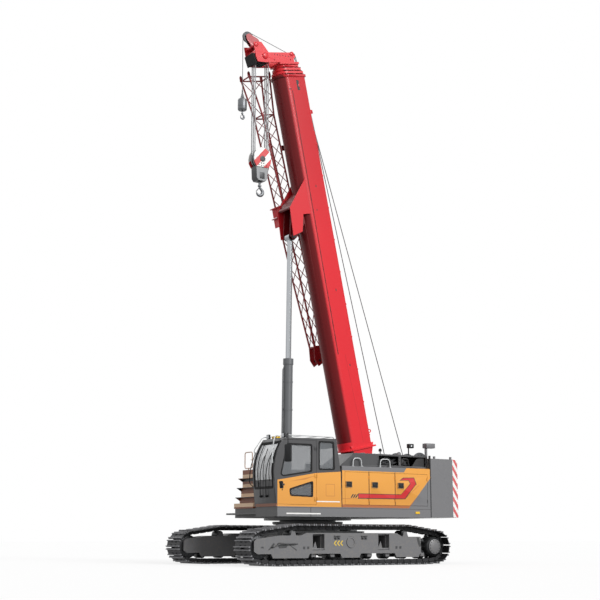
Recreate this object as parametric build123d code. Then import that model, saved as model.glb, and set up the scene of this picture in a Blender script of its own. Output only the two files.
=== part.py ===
from build123d import *

import os
from math import asin, atan2, cos, degrees, hypot, pi, radians, sin

# Crawler crane with a four-part telescopic boom, a lattice jib stowed along the boom's right side,
# a hook block and a ball hook. Millimetres. +X is forward, +Y is the machine's left (the cab's side),
# +Z is up, and the origin is on the ground under the slewing axis.

os.makedirs("parts", exist_ok=True)

# Fits
seat_gap = 0.3          # between two pieces that seat on each other
fit_gap = 0.4           # round a sliding or turning fit
swing_gap = 6.0         # round a door in its opening

# Crawlers
track_gauge = 3390.0    # between the centre lines of the two tracks
shoe_width = 680.0
shoe_count = 62
shoe_gap = 13.0         # between two shoes on a straight run
shoe_plate = 20.0       # plate thickness
shoe_bar = 24.0         # height of the two bars above the plate
shoe_bar_length = 42.0  # of each bar, along the track
shoe_seat = 8.0         # of the shoes into the rails
link_depth = 96.0       # of the chain's rails under the shoes
link_rail = 52.0        # thickness of a rail
link_spread = 210.0     # between the rails' centre lines
end_wheel_x = 2500.0    # idler in front, sprocket behind
end_wheel_z = 428.0
end_wheel_r = 260.0
idler_width = 130.0
sprocket_teeth = 11
track_roller_r = 105.0
track_roller_count = 9
track_roller_reach = 2130.0
track_roller_width = 270.0
top_roller_r = 90.0
top_roller_x = 1620.0
top_roller_z = 725.0
roller_axle_r = 34.0
guard_depth = 95.0      # of the roller guards under the frame

# Side frames
frame_width = 470.0
frame_bottom = 275.0
frame_top = 750.0
frame_plate = 25.0
frame_inside = 310.0    # width of the channel for rollers and idler
drive_r = 235.0
drive_hub_r = 170.0

# Carbody
beam_x = (959.0, -922.0)
beam_width = 300.0
beam_height = 340.0
beam_z = 540.0
beam_wall = 20.0
width_stroke = 520.0    # of each side frame, inwards
beam_inner_y = width_stroke + 80.0
beam_outer_y = 1810.0
tube_wall = 28.0
tube_end_y = 930.0
window_play = 13.0      # of the frame's window round the beam, on each side
core_length = 2560.0
core_width = 1640.0
core_bottom = 370.0
core_top = 800.0
neck_r = 800.0
neck_flange_r = 880.0
neck_flange = 50.0
ring_bottom = 1030.0
ring_r = 700.0
ring_bore_r = 520.0
table_bottom = 1065.0   # underside of the slewing table
table_r = 1090.0

# Upper deck
deck_bottom = 1130.0
deck_top = 1360.0
deck_front = 1790.0      # under the cab
front_recess = 540.0     # of the deck right of the cab
deck_rear = -2775.0
deck_half = 1450.0
deck_plate = 30.0
sill_plate = 45.0
carrier_top = 2330.0    # of the boom carriers under the front winch
tower_inner = 330.0     # half the clear width between the boom carriers
tower_plate = 40.0
step_plate_reach = 260.0
step_plate_thickness = 40.0

# Boom foot, boom and its lift cylinder
foot_x = -1620.0
foot_z = 2420.0
boom_angle = 78.0       # above the horizontal
foot_pin_r = 60.0
foot_boss_r = 170.0
boom_width = 580.0
boom_back = 300.0       # from the foot pin's axis to the boom's back face
boom_belly = 520.0      # from the foot pin's axis to the lowest line of its round belly
boom_corner = 45.0
boom_wall = 12.0
boom_start = 480.0      # of the base section, along the boom from the foot pin
telescope_stroke = 6800.0
section_overlap = 3140.0   # left inside when a section is fully out
boom_end = boom_start + telescope_stroke + section_overlap
section_step = 34.0     # from one section's outer face to the next one's
section_rear_step = 260.0
section_pitch = 100.0   # between the sections' front collars when closed
collar_length = 60.0
collar_height = 26.0
pad_length = 160.0
section_count = 4
boom_tip = boom_end + (section_count - 1) * section_pitch   # front of the last section, closed
lug_along = 6158.0      # the lift lug's pin, along the boom
lug_below = 890.0       # and under the foot pin's axis
lug_pin_r = 50.0
lug_boss_r = 95.0
lug_inner = 135.0       # half the clear width between the lug's cheeks
lug_plate = 35.0
wedge_plate_thickness = 20.0
saddle_below = 770.0    # of the plates before the stowed jib
saddle_plate = 20.0
saddle_reach = 175.0    # past the jib's middle
guide_along = boom_end - 960.0
guide_height = 185.0
cylinder_x = 630.0
cylinder_z = 1500.0
barrel_r = 118.0
barrel_length = 3590.0
barrel_collar_r = 132.0
rod_r = 70.0
rod_stay = 460.0        # between the piston and the gland with the boom up
barrel_wall = 22.0
barrel_bottom = 200.0   # from the lower pin to the bore's end
barrel_neck = 180.0     # from the lower pin to the barrel's full round
gland_length = 150.0
piston_length = 120.0
eye_width = 230.0
rod_eye_width = 200.0
rod_eye_r = 105.0

# Boom head, rooster and sheaves
head_along = boom_tip + 220.0    # the main sheaves' shaft
head_below = 823.0
head_start = boom_tip + 45.0
head_top = boom_tip + 310.0
head_nose = boom_tip + 590.0
head_plate = 30.0
head_half = 250.0       # outer half-width of the head's plates
jib_bore_along = boom_tip + 110.0
jib_bore_below = (60.0, 560.0)
jib_bore_r = 25.0
sheave_shaft_r = 45.0
main_sheave_r = 200.0
main_rope = 20.0
main_falls = 3
main_fall_pitch = 84.0
sheave_thickness = 46.0
groove_depth = 16.0
hinge_along = boom_tip + 520.0    # pin that holds the rooster's arms in the head
hinge_below = 1040.0
hinge_r = 32.0
rooster_along = hinge_along + 270.0
rooster_below = hinge_below + 55.0
rooster_pin_r = 22.0
rooster_r = 155.0
rooster_plate = 16.0
rooster_half = 40.0     # half the clear width between its plates
aux_rope = 16.0

# Hook block
block_z = 10180.0       # its sheaves' axis above the ground
cheek_plate = 22.0
cheek_stretch = 1.22    # height of the cheeks' round top for its half-width
block_half_width = 150.0
block_body_bottom = block_z - 570.0
hook_bar = 62.0
hook_throat_r = 62.0
hook_shank_r = 30.0
hook_centre_z = block_z - 850.0

# Ball hook
weight_r = 118.0
weight_bottom = 11420.0
weight_top = weight_bottom + 315.0
weight_cone_top = weight_top + 125.0
small_shank_r = 15.0
small_hook_z = weight_bottom - 170.0
small_hook_bar = 34.0
small_throat_r = 34.0

# Jib
jib_length = 7850.0
jib_top_along = boom_end + 260.0
jib_tip_along = jib_top_along - jib_length
jib_y = -575.0
# Columns: back from the jib's top, its middle below the foot pin's axis, depth, width, and
# the bays from the row before
jib_sections = ((7400.0, 330.0, 180.0, 225.0, 0), (5600.0, 410.0, 240.0, 360.0, 4),
                (1150.0, 640.0, 360.0, 410.0, 12), (110.0, 700.0, 640.0, 410.0, 2))
jib_bracket_back = (6480.0, 2080.0)     # from the jib's top
jib_chord_r = 24.0
jib_lace = 20.0

# Cab
cab_left = deck_half
cab_right = 475.0
cab_floor = deck_top + seat_gap
cab_wall = 55.0
glass_depth = 18.0      # of the panes behind the wall's face
glass_thickness = 8.0
door_rear_x = 690.0
seat_z = 1700.0
console_width = 120.0
console_side = 205.0        # console's far face from the cab's right side
console_gap = 32.5          # to the seat
door_hinge_r = 14.0
door_sill = 45.0        # of the cab's floor under the door

# Left hood
hood_front = -52.0
hood_inner = 500.0
hood_wall = 32.0
hood_floor = deck_top + seat_gap
hood_low_top = 2353.0
hood_top = 2686.0
hood_ledge = 110.0      # of the upper side behind the doors' face
hood_ports = ((-1240.0, -1860.0), (-1930.0, -2720.0))   # openings of the upper side
port_bottom = 2410.0
port_top = 2645.0
hood_rail_top = 2560.0
door_top = 2215.0
door_bottom = 1420.0
door_splits = (-120.0, -850.0, -1650.0, -2680.0)
hood_hinge_r = 11.0

# Right housing
housing_front = 900.0
housing_inner = -500.0
housing_top = 2350.0

# Access steps
steps_front = deck_front - front_recess + 33.0
steps_base_top = 1490.0
steps_top = 2340.0
steps_rise = 240.0      # from one tread to the next
steps_back = 82.0       # each tier stands this far behind the one below
tread_reach = 135.0
tread_plate = 14.0
tread_gusset = 90.0

# Counterweight
weight_front = deck_rear - seat_gap
weight_side_rear = -3500.0
weight_corner_x = -3900.0
weight_corner_y = 1180.0
weight_rear = -3990.0
weight_low = 1150.0
weight_high = 2620.0
weight_notch_half = 460.0
weight_notch_z = 2180.0

# Winches
drum_r = 170.0
drum_flange_r = 260.0
drum_length = 560.0
journal_r = 50.0
drum_flange = 22.0
winch_plate = 30.0
winch_half = 330.0
main_drum_x = -2610.0
main_drum_z = 2560.0
rear_drum_x = -3385.0
rear_drum_z = 2600.0


def block(x0, x1, y0, y1, z0, z1):
    """Box between two corners, given in any order."""
    centre = Pos((x0 + x1) / 2, (y0 + y1) / 2, (z0 + z1) / 2)
    return centre * Box(abs(x1 - x0), abs(y1 - y0), abs(z1 - z0))


def side_plate(points, y0, y1):
    """Prism of an outline in X and Z between two Y planes."""
    outline = Polyline(*[(x, y0, z) for x, z in points], close=True)
    return extrude(make_face(outline), abs(y1 - y0), dir=(0, 1 if y1 > y0 else -1, 0))


def cross_bar(x, z, radius, y0, y1):
    """Round bar along Y."""
    return Pos(x, (y0 + y1) / 2, z) * Rot(90, 0, 0) * Cylinder(radius, abs(y1 - y0))


def post(x, y, radius, z0, z1):
    """Round bar along Z."""
    return Pos(x, y, (z0 + z1) / 2) * Cylinder(radius, z1 - z0)


def bar(start, end, radius):
    """Round bar between two points."""
    line = Line(start, end)
    return extrude(Plane(origin=start, z_dir=line % 0) * Circle(radius), line.length)


def strut(start, end, width):
    """Square bar between two points."""
    line = Line(start, end)
    return extrude(Plane(origin=start, z_dir=line % 0) * Rectangle(width, width), line.length)


def turned(points):
    """Solid of revolution about Y of an outline in radius and Y, centred on the origin."""
    outline = Polyline(*[(radius, y, 0) for radius, y in points], close=True)
    return revolve(make_face(outline), Axis.Y)


def merged(pieces):
    """One shape of many overlapping solids."""
    return pieces[0].fuse(*pieces[1:])


def rail_bow(start, end, high, radius=15.0):
    """Inverted U of round tube between two feet, each given as x, y, z."""
    top_start, top_end = Vector(*start[:2], high), Vector(*end[:2], high)
    past = (top_end - top_start).normalized() * radius
    return merged([bar(start, top_start, radius), bar(top_start - past, top_end + past, radius),
                   bar(top_end, end, radius)])


def both_sides(piece):
    """A left piece and its mirror image on the right."""
    return [piece, mirror(piece, about=Plane.XZ)]


def save(name, *pieces):
    """Write one node as one STEP file of its solids."""
    solids = [solid for piece in pieces for solid in piece.solids()]
    export_step(Compound(children=solids) if len(solids) > 1 else solids[0], f"parts/{name}.step")


# The track's path: straight runs and arcs round six wheels, named in the order in which the chain
# passes them. Columns: x, z, tread radius.
track_wheels = (
    (track_roller_reach, link_depth + shoe_plate + shoe_bar + track_roller_r, track_roller_r),
    (end_wheel_x, end_wheel_z, end_wheel_r),
    (top_roller_x, top_roller_z, top_roller_r),
    (-top_roller_x, top_roller_z, top_roller_r),
    (-end_wheel_x, end_wheel_z, end_wheel_r),
    (-track_roller_reach, link_depth + shoe_plate + shoe_bar + track_roller_r, track_roller_r),
)
track_y = track_gauge / 2


def belt_runs(offset):
    """Straight runs of the path at an offset outside the wheels' treads, as start and end points."""
    runs = []
    for here, there in zip(track_wheels, track_wheels[1:] + track_wheels[:1]):
        dx, dz = there[0] - here[0], there[1] - here[1]
        span = hypot(dx, dz)
        lean = atan2(dz, dx) - pi / 2 + asin((here[2] - there[2]) / span)
        out = (cos(lean), sin(lean))
        start = tuple(here[i] + (here[2] + offset) * out[i] for i in (0, 1))
        end = tuple(there[i] + (there[2] + offset) * out[i] for i in (0, 1))
        runs.append((start, end, lean))
    return runs


def belt_prism(offset, y0, y1):
    """Solid of what lies inside the path at an offset outside the wheels' treads."""
    runs = belt_runs(offset)
    edges = []
    for index, (start, end, lean) in enumerate(runs):
        wheel = track_wheels[(index + 1) % len(runs)]
        next_start, _, next_lean = runs[(index + 1) % len(runs)]
        middle = lean + ((next_lean - lean) % (2 * pi)) / 2
        reach = wheel[2] + offset
        crest = (wheel[0] + reach * cos(middle), wheel[1] + reach * sin(middle))
        edges.append(Line((start[0], y0, start[1]), (end[0], y0, end[1])))
        edges.append(ThreePointArc((end[0], y0, end[1]), (crest[0], y0, crest[1]),
                                   (next_start[0], y0, next_start[1])))
    return extrude(make_face(edges), y1 - y0, dir=(0, 1, 0))


def belt_places(offset, count):
    """Points and outward angles at equal spacing along the path."""
    runs = belt_runs(offset)
    legs = []
    for index, (start, end, lean) in enumerate(runs):
        wheel = track_wheels[(index + 1) % len(runs)]
        turn = (runs[(index + 1) % len(runs)][2] - lean) % (2 * pi)
        legs.append(("run", start, end, lean, hypot(end[0] - start[0], end[1] - start[1])))
        legs.append(("arc", wheel, lean, turn, turn * (wheel[2] + offset)))
    pitch = sum(leg[-1] for leg in legs) / count
    places = []
    for index in range(count):
        way = index * pitch
        for leg in legs:
            if way <= leg[-1]:
                break
            way -= leg[-1]
        share = min(way / leg[-1], 1.0)
        if leg[0] == "run":
            point = tuple(leg[1][i] + share * (leg[2][i] - leg[1][i]) for i in (0, 1))
            places.append((point, leg[3]))
        else:
            angle = leg[2] + share * leg[3]
            reach = leg[1][2] + offset
            places.append(((leg[1][0] + reach * cos(angle), leg[1][1] + reach * sin(angle)), angle))
    return places, pitch


def make_track():
    """Shoes at equal pitch round the two rails of a chain, all in one outline."""
    rails = []
    for side in (-1, 1):
        y0 = track_y + side * link_spread / 2 - link_rail / 2
        rails.append(belt_prism(link_depth, y0, y0 + link_rail) - belt_prism(0, y0 - 1, y0 + link_rail + 1))
    places, pitch = belt_places(link_depth, shoe_count)
    half = (pitch - shoe_gap) / 2
    bar_top = shoe_plate + shoe_bar
    # Half of a shoe's outline: distance from its middle along the track, height over the rails
    edge = ((half, 0), (half, bar_top), (half - shoe_bar_length, bar_top),
            (half - shoe_bar_length, shoe_plate))
    profile = [(-s, h) for s, h in edge] + list(reversed(edge))
    outline = []
    for (x, z), angle in places:
        for s, h in profile:
            outline.append((x - s * sin(angle) + h * cos(angle), z + s * cos(angle) + h * sin(angle)))
    near, far = track_y - shoe_width / 2, track_y + shoe_width / 2
    shoes = side_plate(outline, near, far) - belt_prism(link_depth - shoe_seat, near - 1, far + 1)
    return merged([shoes] + rails)


def make_rollers():
    """Track rollers under the frame and carrier rollers on top of it, each with its axle."""
    tread = track_roller_r - seat_gap
    half = track_roller_width / 2
    rim = link_spread / 2 + link_rail / 2 + 4
    axle = frame_inside / 2 - seat_gap
    low_outline = ((0, -axle), (roller_axle_r, -axle), (roller_axle_r, -half), (tread, -half),
                   (tread, half), (roller_axle_r, half), (roller_axle_r, axle), (0, axle))
    low = turned(low_outline)
    top = turned(((0, -rim), (top_roller_r - seat_gap, -rim), (top_roller_r - seat_gap, rim), (0, rim)))
    low_z = track_wheels[0][1]
    spacing = 2 * track_roller_reach / (track_roller_count - 1)
    rollers = [Pos(-track_roller_reach + i * spacing, track_y, low_z) * low
               for i in range(track_roller_count)]
    return rollers + [Pos(x, track_y, top_roller_z) * top for x in (top_roller_x, -top_roller_x)]


def make_idler():
    """Front guide wheel: a rim under each rail with a web between them, and its axle."""
    rim = end_wheel_r - seat_gap
    half = link_spread / 2 + link_rail / 2
    guide = idler_width / 2
    axle = frame_inside / 2 - seat_gap
    outline = ((0, -axle), (55, -axle), (55, -half), (rim, -half), (rim, -guide), (rim + 28, -guide + 12),
               (rim + 28, guide - 12), (rim, guide), (rim, half), (55, half), (55, axle), (0, axle))
    return Pos(end_wheel_x, track_y, end_wheel_z) * turned(outline)


def make_sprocket():
    """Toothed drive wheel between the rails, its drum and the hub cover that shows outside."""
    tooth_r = end_wheel_r + link_depth / 2 - 5
    root_r = end_wheel_r - 22
    points = []
    for index in range(sprocket_teeth):
        middle = 2 * pi * index / sprocket_teeth
        for share, radius in ((-0.40, root_r), (-0.13, tooth_r), (0.13, tooth_r), (0.40, root_r)):
            angle = middle + share * 2 * pi / sprocket_teeth
            points.append((-end_wheel_x + radius * cos(angle), end_wheel_z + radius * sin(angle)))
    teeth = side_plate(points, track_y - 30, track_y + 30)
    rails = link_spread / 2 + link_rail / 2
    outer_face = track_y + frame_width / 2
    drum = cross_bar(-end_wheel_x, end_wheel_z, drive_r, track_y - rails, outer_face - 60)
    hub = cross_bar(-end_wheel_x, end_wheel_z, drive_hub_r, outer_face - 60, outer_face - 20)
    motor_face = track_y - frame_width / 2 + frame_plate + seat_gap
    motor = cross_bar(-end_wheel_x, end_wheel_z, drive_hub_r, motor_face, track_y - rails)
    return merged([teeth, drum, hub, motor])


def make_side_frame():
    """Box frame with its roller channel, beam sockets, guards, drive plate and cross beams."""
    inner, outer = track_y - frame_width / 2, track_y + frame_width / 2
    front, rear = end_wheel_x + 200, 450 - end_wheel_x
    outline = ((rear, frame_bottom), (front - 100, frame_bottom), (front, frame_bottom + 55), (front, 560),
               (front - 60, 613), (2000, frame_top - 60), (1450, frame_top - 60), (1290, frame_top),
               (-1300, frame_top), (-1500, frame_top - 85), (rear, frame_top - 85))
    frame = side_plate(outline, inner, outer)
    channel_top = track_wheels[0][1] + track_roller_r + 40
    half = frame_inside / 2
    frame -= block(-2100, 2720, track_y - half, track_y + half, 200, channel_top)
    frame -= block(2150, 2720, track_y - half, track_y + half, 200, 800)
    rim = link_spread / 2 + link_rail / 2 + 4
    for x in (top_roller_x, -top_roller_x):
        reach = top_roller_r + 12
        frame -= block(x - reach, x + reach, track_y - rim, track_y + rim, top_roller_z - reach, 800)
    # Guards hang from both plates beside the rollers
    guards = []
    for x0, x1 in ((-2030, -1250), (-250, 350), (1200, 2250)):
        for plate_y in (outer - frame_plate, inner):
            low = frame_bottom - guard_depth
            points = ((x0, frame_bottom + 5), (x1, frame_bottom + 5), (x1 - 50, low), (x0 + 50, low))
            guards.append(side_plate(points, plate_y, plate_y + frame_plate))
    # Brackets hold the ends of the roller axles
    spacing = 2 * track_roller_reach / (track_roller_count - 1)
    axle_z = track_wheels[0][1]
    for index in range(track_roller_count):
        x = index * spacing - track_roller_reach
        for y0, y1 in ((inner + 55, track_y - half), (track_y + half, outer - 55)):
            guards.append(block(x - 55, x + 55, y0, y1, axle_z - 45, frame_bottom + 5))
    # Posts for the carrier rollers stand beside them, outside the rails
    for x in (top_roller_x, -top_roller_x):
        for side in (-1, 1):
            y0 = track_y + side * (rim + seat_gap)
            y1 = track_y + side * (rim + 45)
            points = ((x - 90, 650), (x + 90, 650), (x + 45, 785), (x - 45, 785))
            guards.append(side_plate(points, y0, y1))
    # Plate that carries the drive motor
    drive_plate = side_plate(((-1980, 300), (-1980, 640), (-2350, 640), (-2700, 560), (-2700, 300)),
                             inner, inner + frame_plate)
    # Beams, open at their outer ends, in windows of the frame
    windows = []
    beams = []
    for x in beam_x:
        half_x, half_z = beam_width / 2, beam_height / 2
        windows.append(block(x - half_x - window_play, x + half_x + window_play, beam_outer_y, outer + 5,
                             beam_z - half_z - window_play, beam_z + half_z + window_play))
        beam = block(x - half_x, x + half_x, beam_inner_y, beam_outer_y,
                     beam_z - half_z, beam_z + half_z)
        beams.append(beam)
        windows.append(block(x - half_x + beam_wall, x + half_x - beam_wall, beam_inner_y - 5, outer + 5,
                             beam_z - half_z + beam_wall, beam_z + half_z - beam_wall))
    tensioner = cross_bar(40, 535, 126, outer - 5, outer + 14) - cross_bar(40, 535, 92, outer, outer + 20)
    frame = merged([frame] + guards + beams + [drive_plate, tensioner])
    for window in windows:
        frame -= window
    return frame


def make_carbody():
    """Welded centre with two cross tubes for the frames' beams and a round neck."""
    half_y = core_width / 2
    centre = block(-core_length / 2, core_length / 2, -half_y, half_y, core_bottom, core_top)
    centre = chamfer(centre.edges().filter_by(Axis.Z), 180)
    pieces = [centre, post(0, 0, neck_r, core_top - 5, ring_bottom - neck_flange),
              post(0, 0, neck_flange_r, ring_bottom - neck_flange, ring_bottom)]
    outer_x = beam_width / 2 + tube_wall + fit_gap
    outer_z = beam_height / 2 + tube_wall + fit_gap
    for x in beam_x:
        pieces.append(block(x - outer_x, x + outer_x, -tube_end_y, tube_end_y,
                            beam_z - outer_z, beam_z + outer_z))
    body = merged(pieces)
    for x in beam_x:
        bore_x, bore_z = beam_width / 2 + fit_gap, beam_height / 2 + fit_gap
        body -= block(x - bore_x, x + bore_x, -tube_end_y - 5, tube_end_y + 5,
                      beam_z - bore_z, beam_z + bore_z)
    return body - post(0, 0, 300, core_bottom - 5, ring_bottom + 5)


def make_upper_frame():
    """Deck with sills, slewing table, boom carriers and the lift cylinder's lugs."""
    table = post(0, 0, table_r, table_bottom, deck_bottom + 20) - post(0, 0, 300, table_bottom - 5, deck_top)
    deck = block(deck_rear, deck_front, -deck_half, deck_half, deck_bottom, deck_top)
    for y0, y1 in ((-deck_half + sill_plate, -tower_inner - tower_plate - 60),
                   (tower_inner + tower_plate + 60, deck_half - sill_plate)):
        front = deck_front if y0 > 0 else deck_front - front_recess
        for x0, x1 in ((deck_rear + 60, -1150), (-1090, 0), (60, 620), (680, front - 60)):
            deck -= block(x0, x1, y0, y1, deck_bottom - 5, deck_top - deck_plate)
    right_front = deck_front - front_recess
    deck -= block(right_front, deck_front + 5, -deck_half - 5, cab_right - seat_gap,
                  deck_bottom - 5, deck_top + 5)
    step_z = (deck_bottom + deck_top) / 2 - step_plate_thickness
    step = block(right_front - 5, right_front + step_plate_reach, -deck_half, 250,
                 step_z, step_z + step_plate_thickness)
    # Carriers: their outline rises from the cylinder's lugs to the boom's foot
    outline = ((1000, deck_top - 40), (1000, 1540), (860, 1660), (300, 1690), (-700, 2010),
               (foot_x + 320, foot_z + 140), (foot_x + 100, foot_z + 220), (foot_x - 100, foot_z + 220),
               (foot_x - 240, foot_z + 100), (-2200, carrier_top), (-2740, carrier_top),
               (-2740, deck_top - 40))
    pieces = [table, deck, step]
    for piece in both_sides(side_plate(outline, tower_inner, tower_inner + tower_plate)):
        pieces.append(piece)
    boss = cross_bar(foot_x, foot_z, foot_boss_r, tower_inner, tower_inner + tower_plate + 30)
    pieces += both_sides(boss)
    lug_in = eye_width / 2 + seat_gap
    lug = side_plate(((cylinder_x - 260, deck_top - 10), (cylinder_x + 260, deck_top - 10),
                      (cylinder_x + 120, cylinder_z + 110), (cylinder_x - 120, cylinder_z + 110)),
                     lug_in, lug_in + 45)
    pieces += both_sides(lug)
    wall = block(-900, -850, -tower_inner - 5, tower_inner + 5, deck_top - 5, 1750)
    pieces.append(wall)
    # Pins of the boom's foot and of the lift cylinder, fixed in their bosses and lugs
    reach = tower_inner + tower_plate + 42
    pieces.append(cross_bar(foot_x, foot_z, foot_pin_r, -reach, reach))
    pieces.append(cross_bar(cylinder_x, cylinder_z, lug_pin_r, -eye_width / 2 - 60, eye_width / 2 + 60))
    return merged(pieces)


# The windscreen bulges between its foot and the roof. Each point: x, z.
screen_foot = (1880.0, 2000.0)
screen_middle = (1818.0, 2580.0)
screen_top = (1600.0, 2965.0)
screen_parts = 6


def arc_points(start, middle, end, parts):
    """Points at equal angles on the arc through three points."""
    arc = ThreePointArc((*start, 0), (*middle, 0), (*end, 0))
    return [((arc @ (index / parts)).X, (arc @ (index / parts)).Y) for index in range(parts + 1)]


# Cab outline: floor, nose, windscreen, roof, back. Columns: x, z.
cab_outline = ((-30.0, cab_floor), (1820.0, cab_floor),
               *arc_points(screen_foot, screen_middle, screen_top, screen_parts),
               (120.0, 2995.0), (-9.0, 2206.0))


def inset_outline(points, depth):
    """Outline moved inwards by a wall's thickness, for a convex outline drawn anticlockwise."""
    moved = []
    count = len(points)
    for index in range(count):
        before, here, after = points[index - 1], points[index], points[(index + 1) % count]
        lines = []
        for start, end in ((before, here), (here, after)):
            dx, dz = end[0] - start[0], end[1] - start[1]
            length = hypot(dx, dz)
            normal = (-dz / length, dx / length)
            lines.append((normal, normal[0] * start[0] + normal[1] * start[1] + depth))
        (a, b), c = lines[0]
        (d, e), f = lines[1]
        det = a * e - b * d
        if abs(det) < 1e-9:
            moved.append((here[0] + a * depth, here[1] + b * depth))
        else:
            moved.append(((c * e - b * f) / det, (a * f - c * d) / det))
    return moved


def cab_solid(depth):
    """Cab's outer form, inset by a depth all round."""
    return side_plate(inset_outline(cab_outline, depth), cab_right + depth, cab_left - depth)


# Windows cut in the cab's left side: outline points in x and z
door_window = ((825, 2190), (1630, 2065), (1700, 2110), (1520, 2830), (825, 2830))
door_low_window = ((803, 1597), (1428, 1615), (1452, 1768), (802, 1957))
rear_side_window = ((170, 2250), (620, 2240), (620, 2915), (190, 2915))


def cab_windows():
    """Prisms that cut the fixed windows."""
    far, near = cab_right - 20, cab_left + 20
    middle = (cab_right + cab_left) / 2
    edge = cab_wall + 30
    front_low = block(1600, 2000, cab_right + edge, cab_left - edge, 1450, 1790)
    windscreen = block(1480, 2000, cab_right + edge, cab_left - edge, 1985, 2870)
    rear = block(-150, 140, cab_right + edge, cab_left - edge, 2260, 2890)
    right = side_plate(((170, 2200), (1560, 2100), (1430, 2870), (190, 2870)), far, middle)
    left = side_plate(rear_side_window, middle, near)
    roof = block(700, 1450, cab_right + 170, cab_left - 170, 2900, 3050)
    return [front_low, windscreen, rear, right, left, roof]


def door_outline(gap):
    """Door's edge in the cab's left side, moved inwards by a gap."""
    front = inset_outline(cab_outline, gap)[2:2 + screen_parts]
    low, high = cab_floor + door_sill + gap, screen_top[1] - 40 - gap
    share = (high - front[-1][1]) / (screen_top[1] - front[-1][1])
    corner = (front[-1][0] + share * (screen_top[0] - front[-1][0]), high)
    rear = door_rear_x + gap
    return [(rear, low), (cab_outline[1][0] + 4 - gap, low), *front, corner, (rear, high + 10)]


def door_cut(gap):
    """Prism of the door through the left wall."""
    return side_plate(door_outline(gap), cab_left - cab_wall, cab_left + 5)


def make_cab():
    """Cab shell, its fixed glass, the door and the door's glass."""
    wall = cab_solid(0) - cab_solid(cab_wall)
    pane = cab_solid(glass_depth) - cab_solid(glass_depth + glass_thickness)
    shell = wall - door_cut(0)
    panes = []
    for window in cab_windows():
        shell -= window
        panes.append(pane & window)
    door = cab_solid(0) & door_cut(swing_gap)
    door_panes = []
    for outline in (door_window, door_low_window):
        cut = side_plate(outline, cab_left - cab_wall - 5, cab_left + 5)
        door -= cut
        door_panes.append(pane & cut)
    hinges = []
    for z in (1500, 2050, 2700):
        hinges.append(post(door_rear_x - 4, cab_left + door_hinge_r + 2, door_hinge_r, z, z + 90))
        hinges.append(block(door_rear_x - 4, door_rear_x + 70, cab_left + 2, cab_left + 12, z, z + 90))
        hinges.append(block(door_rear_x + 15, door_rear_x + 70, cab_left - 3, cab_left + 12, z, z + 90))
    handle = block(1600, 1690, cab_left - 5, cab_left + 18, 1850, 1885)
    return shell, panes, merged([door, handle] + hinges), door_panes


def make_left_hood():
    """Engine hood's shell with three door openings, a sloped front and its top."""
    outline = ((hood_front, hood_floor), (hood_front, hood_low_top), (-493, hood_top),
               (deck_rear, hood_top), (deck_rear, hood_floor))
    shell = side_plate(outline, hood_inner, deck_half)
    upper_y = deck_half - hood_ledge
    shell -= block(deck_rear - 5, hood_front + 5, upper_y, deck_half + 5, hood_low_top, hood_top + 5)
    hollow = ((hood_front - hood_wall, hood_floor + hood_wall),
              (hood_front - hood_wall, hood_low_top - hood_wall / 2),
              (-493 - hood_wall / 2, hood_top - hood_wall),
              (deck_rear + hood_wall, hood_top - hood_wall), (deck_rear + hood_wall, hood_floor + hood_wall))
    shell -= side_plate(hollow, hood_inner + hood_wall, upper_y - hood_wall)
    shell -= block(deck_rear + hood_wall, hood_front - hood_wall, upper_y - hood_wall - 5,
                   deck_half - hood_wall, hood_floor + hood_wall, hood_low_top - hood_wall)
    for front, rear in hood_ports:
        shell -= block(rear, front, upper_y - hood_wall - 5, upper_y + 5, port_bottom, port_top)
    doors = []
    for front, rear in zip(door_splits[:-1], door_splits[1:]):
        opening = block(rear, front - 12, deck_half - hood_wall - 5, deck_half + 5, door_bottom, door_top)
        shell -= opening
        door = block(rear + swing_gap, front - 12 - swing_gap, deck_half - hood_wall + 2, deck_half,
                     door_bottom + swing_gap, door_top - swing_gap)
        hinges = [post(rear + swing_gap + 2, deck_half + hood_hinge_r - 3, hood_hinge_r, z, z + 70)
                  for z in (door_bottom + 90, door_top - 160)]
        latch = block(front - 120, front - 70, deck_half - 2, deck_half + 12, 1880, 1940)
        doors.append(merged([door, latch] + hinges))
    rails = []
    rail_y, foot = deck_half - hood_ledge / 2, hood_low_top + seat_gap
    for x0, x1 in ((-412, -676), (-1238, -1549)):
        rails.append(rail_bow((x0, rail_y, foot), (x1, rail_y, foot), hood_rail_top))
    return shell, doors, rails


def make_right_housing():
    """Tanks and battery boxes on the right, one closed housing with a stepped front."""
    outline = ((housing_front, hood_floor), (housing_front, 2180), (housing_front - 160, housing_top),
               (-900, housing_top), (-1060, 2520), (deck_rear, 2520), (deck_rear, hood_floor))
    return side_plate(outline, -deck_half, housing_inner)


def make_steps():
    """Access steps before the right housing: a base box, tiers behind each other and three treads."""
    inner, outer = housing_inner, -deck_half
    rear = housing_front + seat_gap
    pieces = [block(rear, steps_front, inner, outer, deck_top + seat_gap, steps_base_top)]
    fronts = [steps_front - 2 * steps_back - index * steps_back / 2 for index in range(3)]
    floor = steps_base_top - 5
    for index, front in enumerate(fronts):
        tread = steps_base_top + (index + 0.65) * steps_rise
        top = steps_top if index == 2 else tread
        pieces.append(block(rear, front, inner, outer, floor, top))
        floor = top - 5
        # A tread plate with a triangular gusset under each end
        pieces.append(block(front - 5, front + tread_reach, inner, outer, tread - tread_plate, tread))
        for y in (outer, inner - tread_plate):
            pieces.append(side_plate(((front - 5, tread - tread_gusset), (front - 5, tread - 5),
                                      (front + tread_reach, tread - 5)), y, y + tread_plate))
    return merged(pieces)


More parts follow.
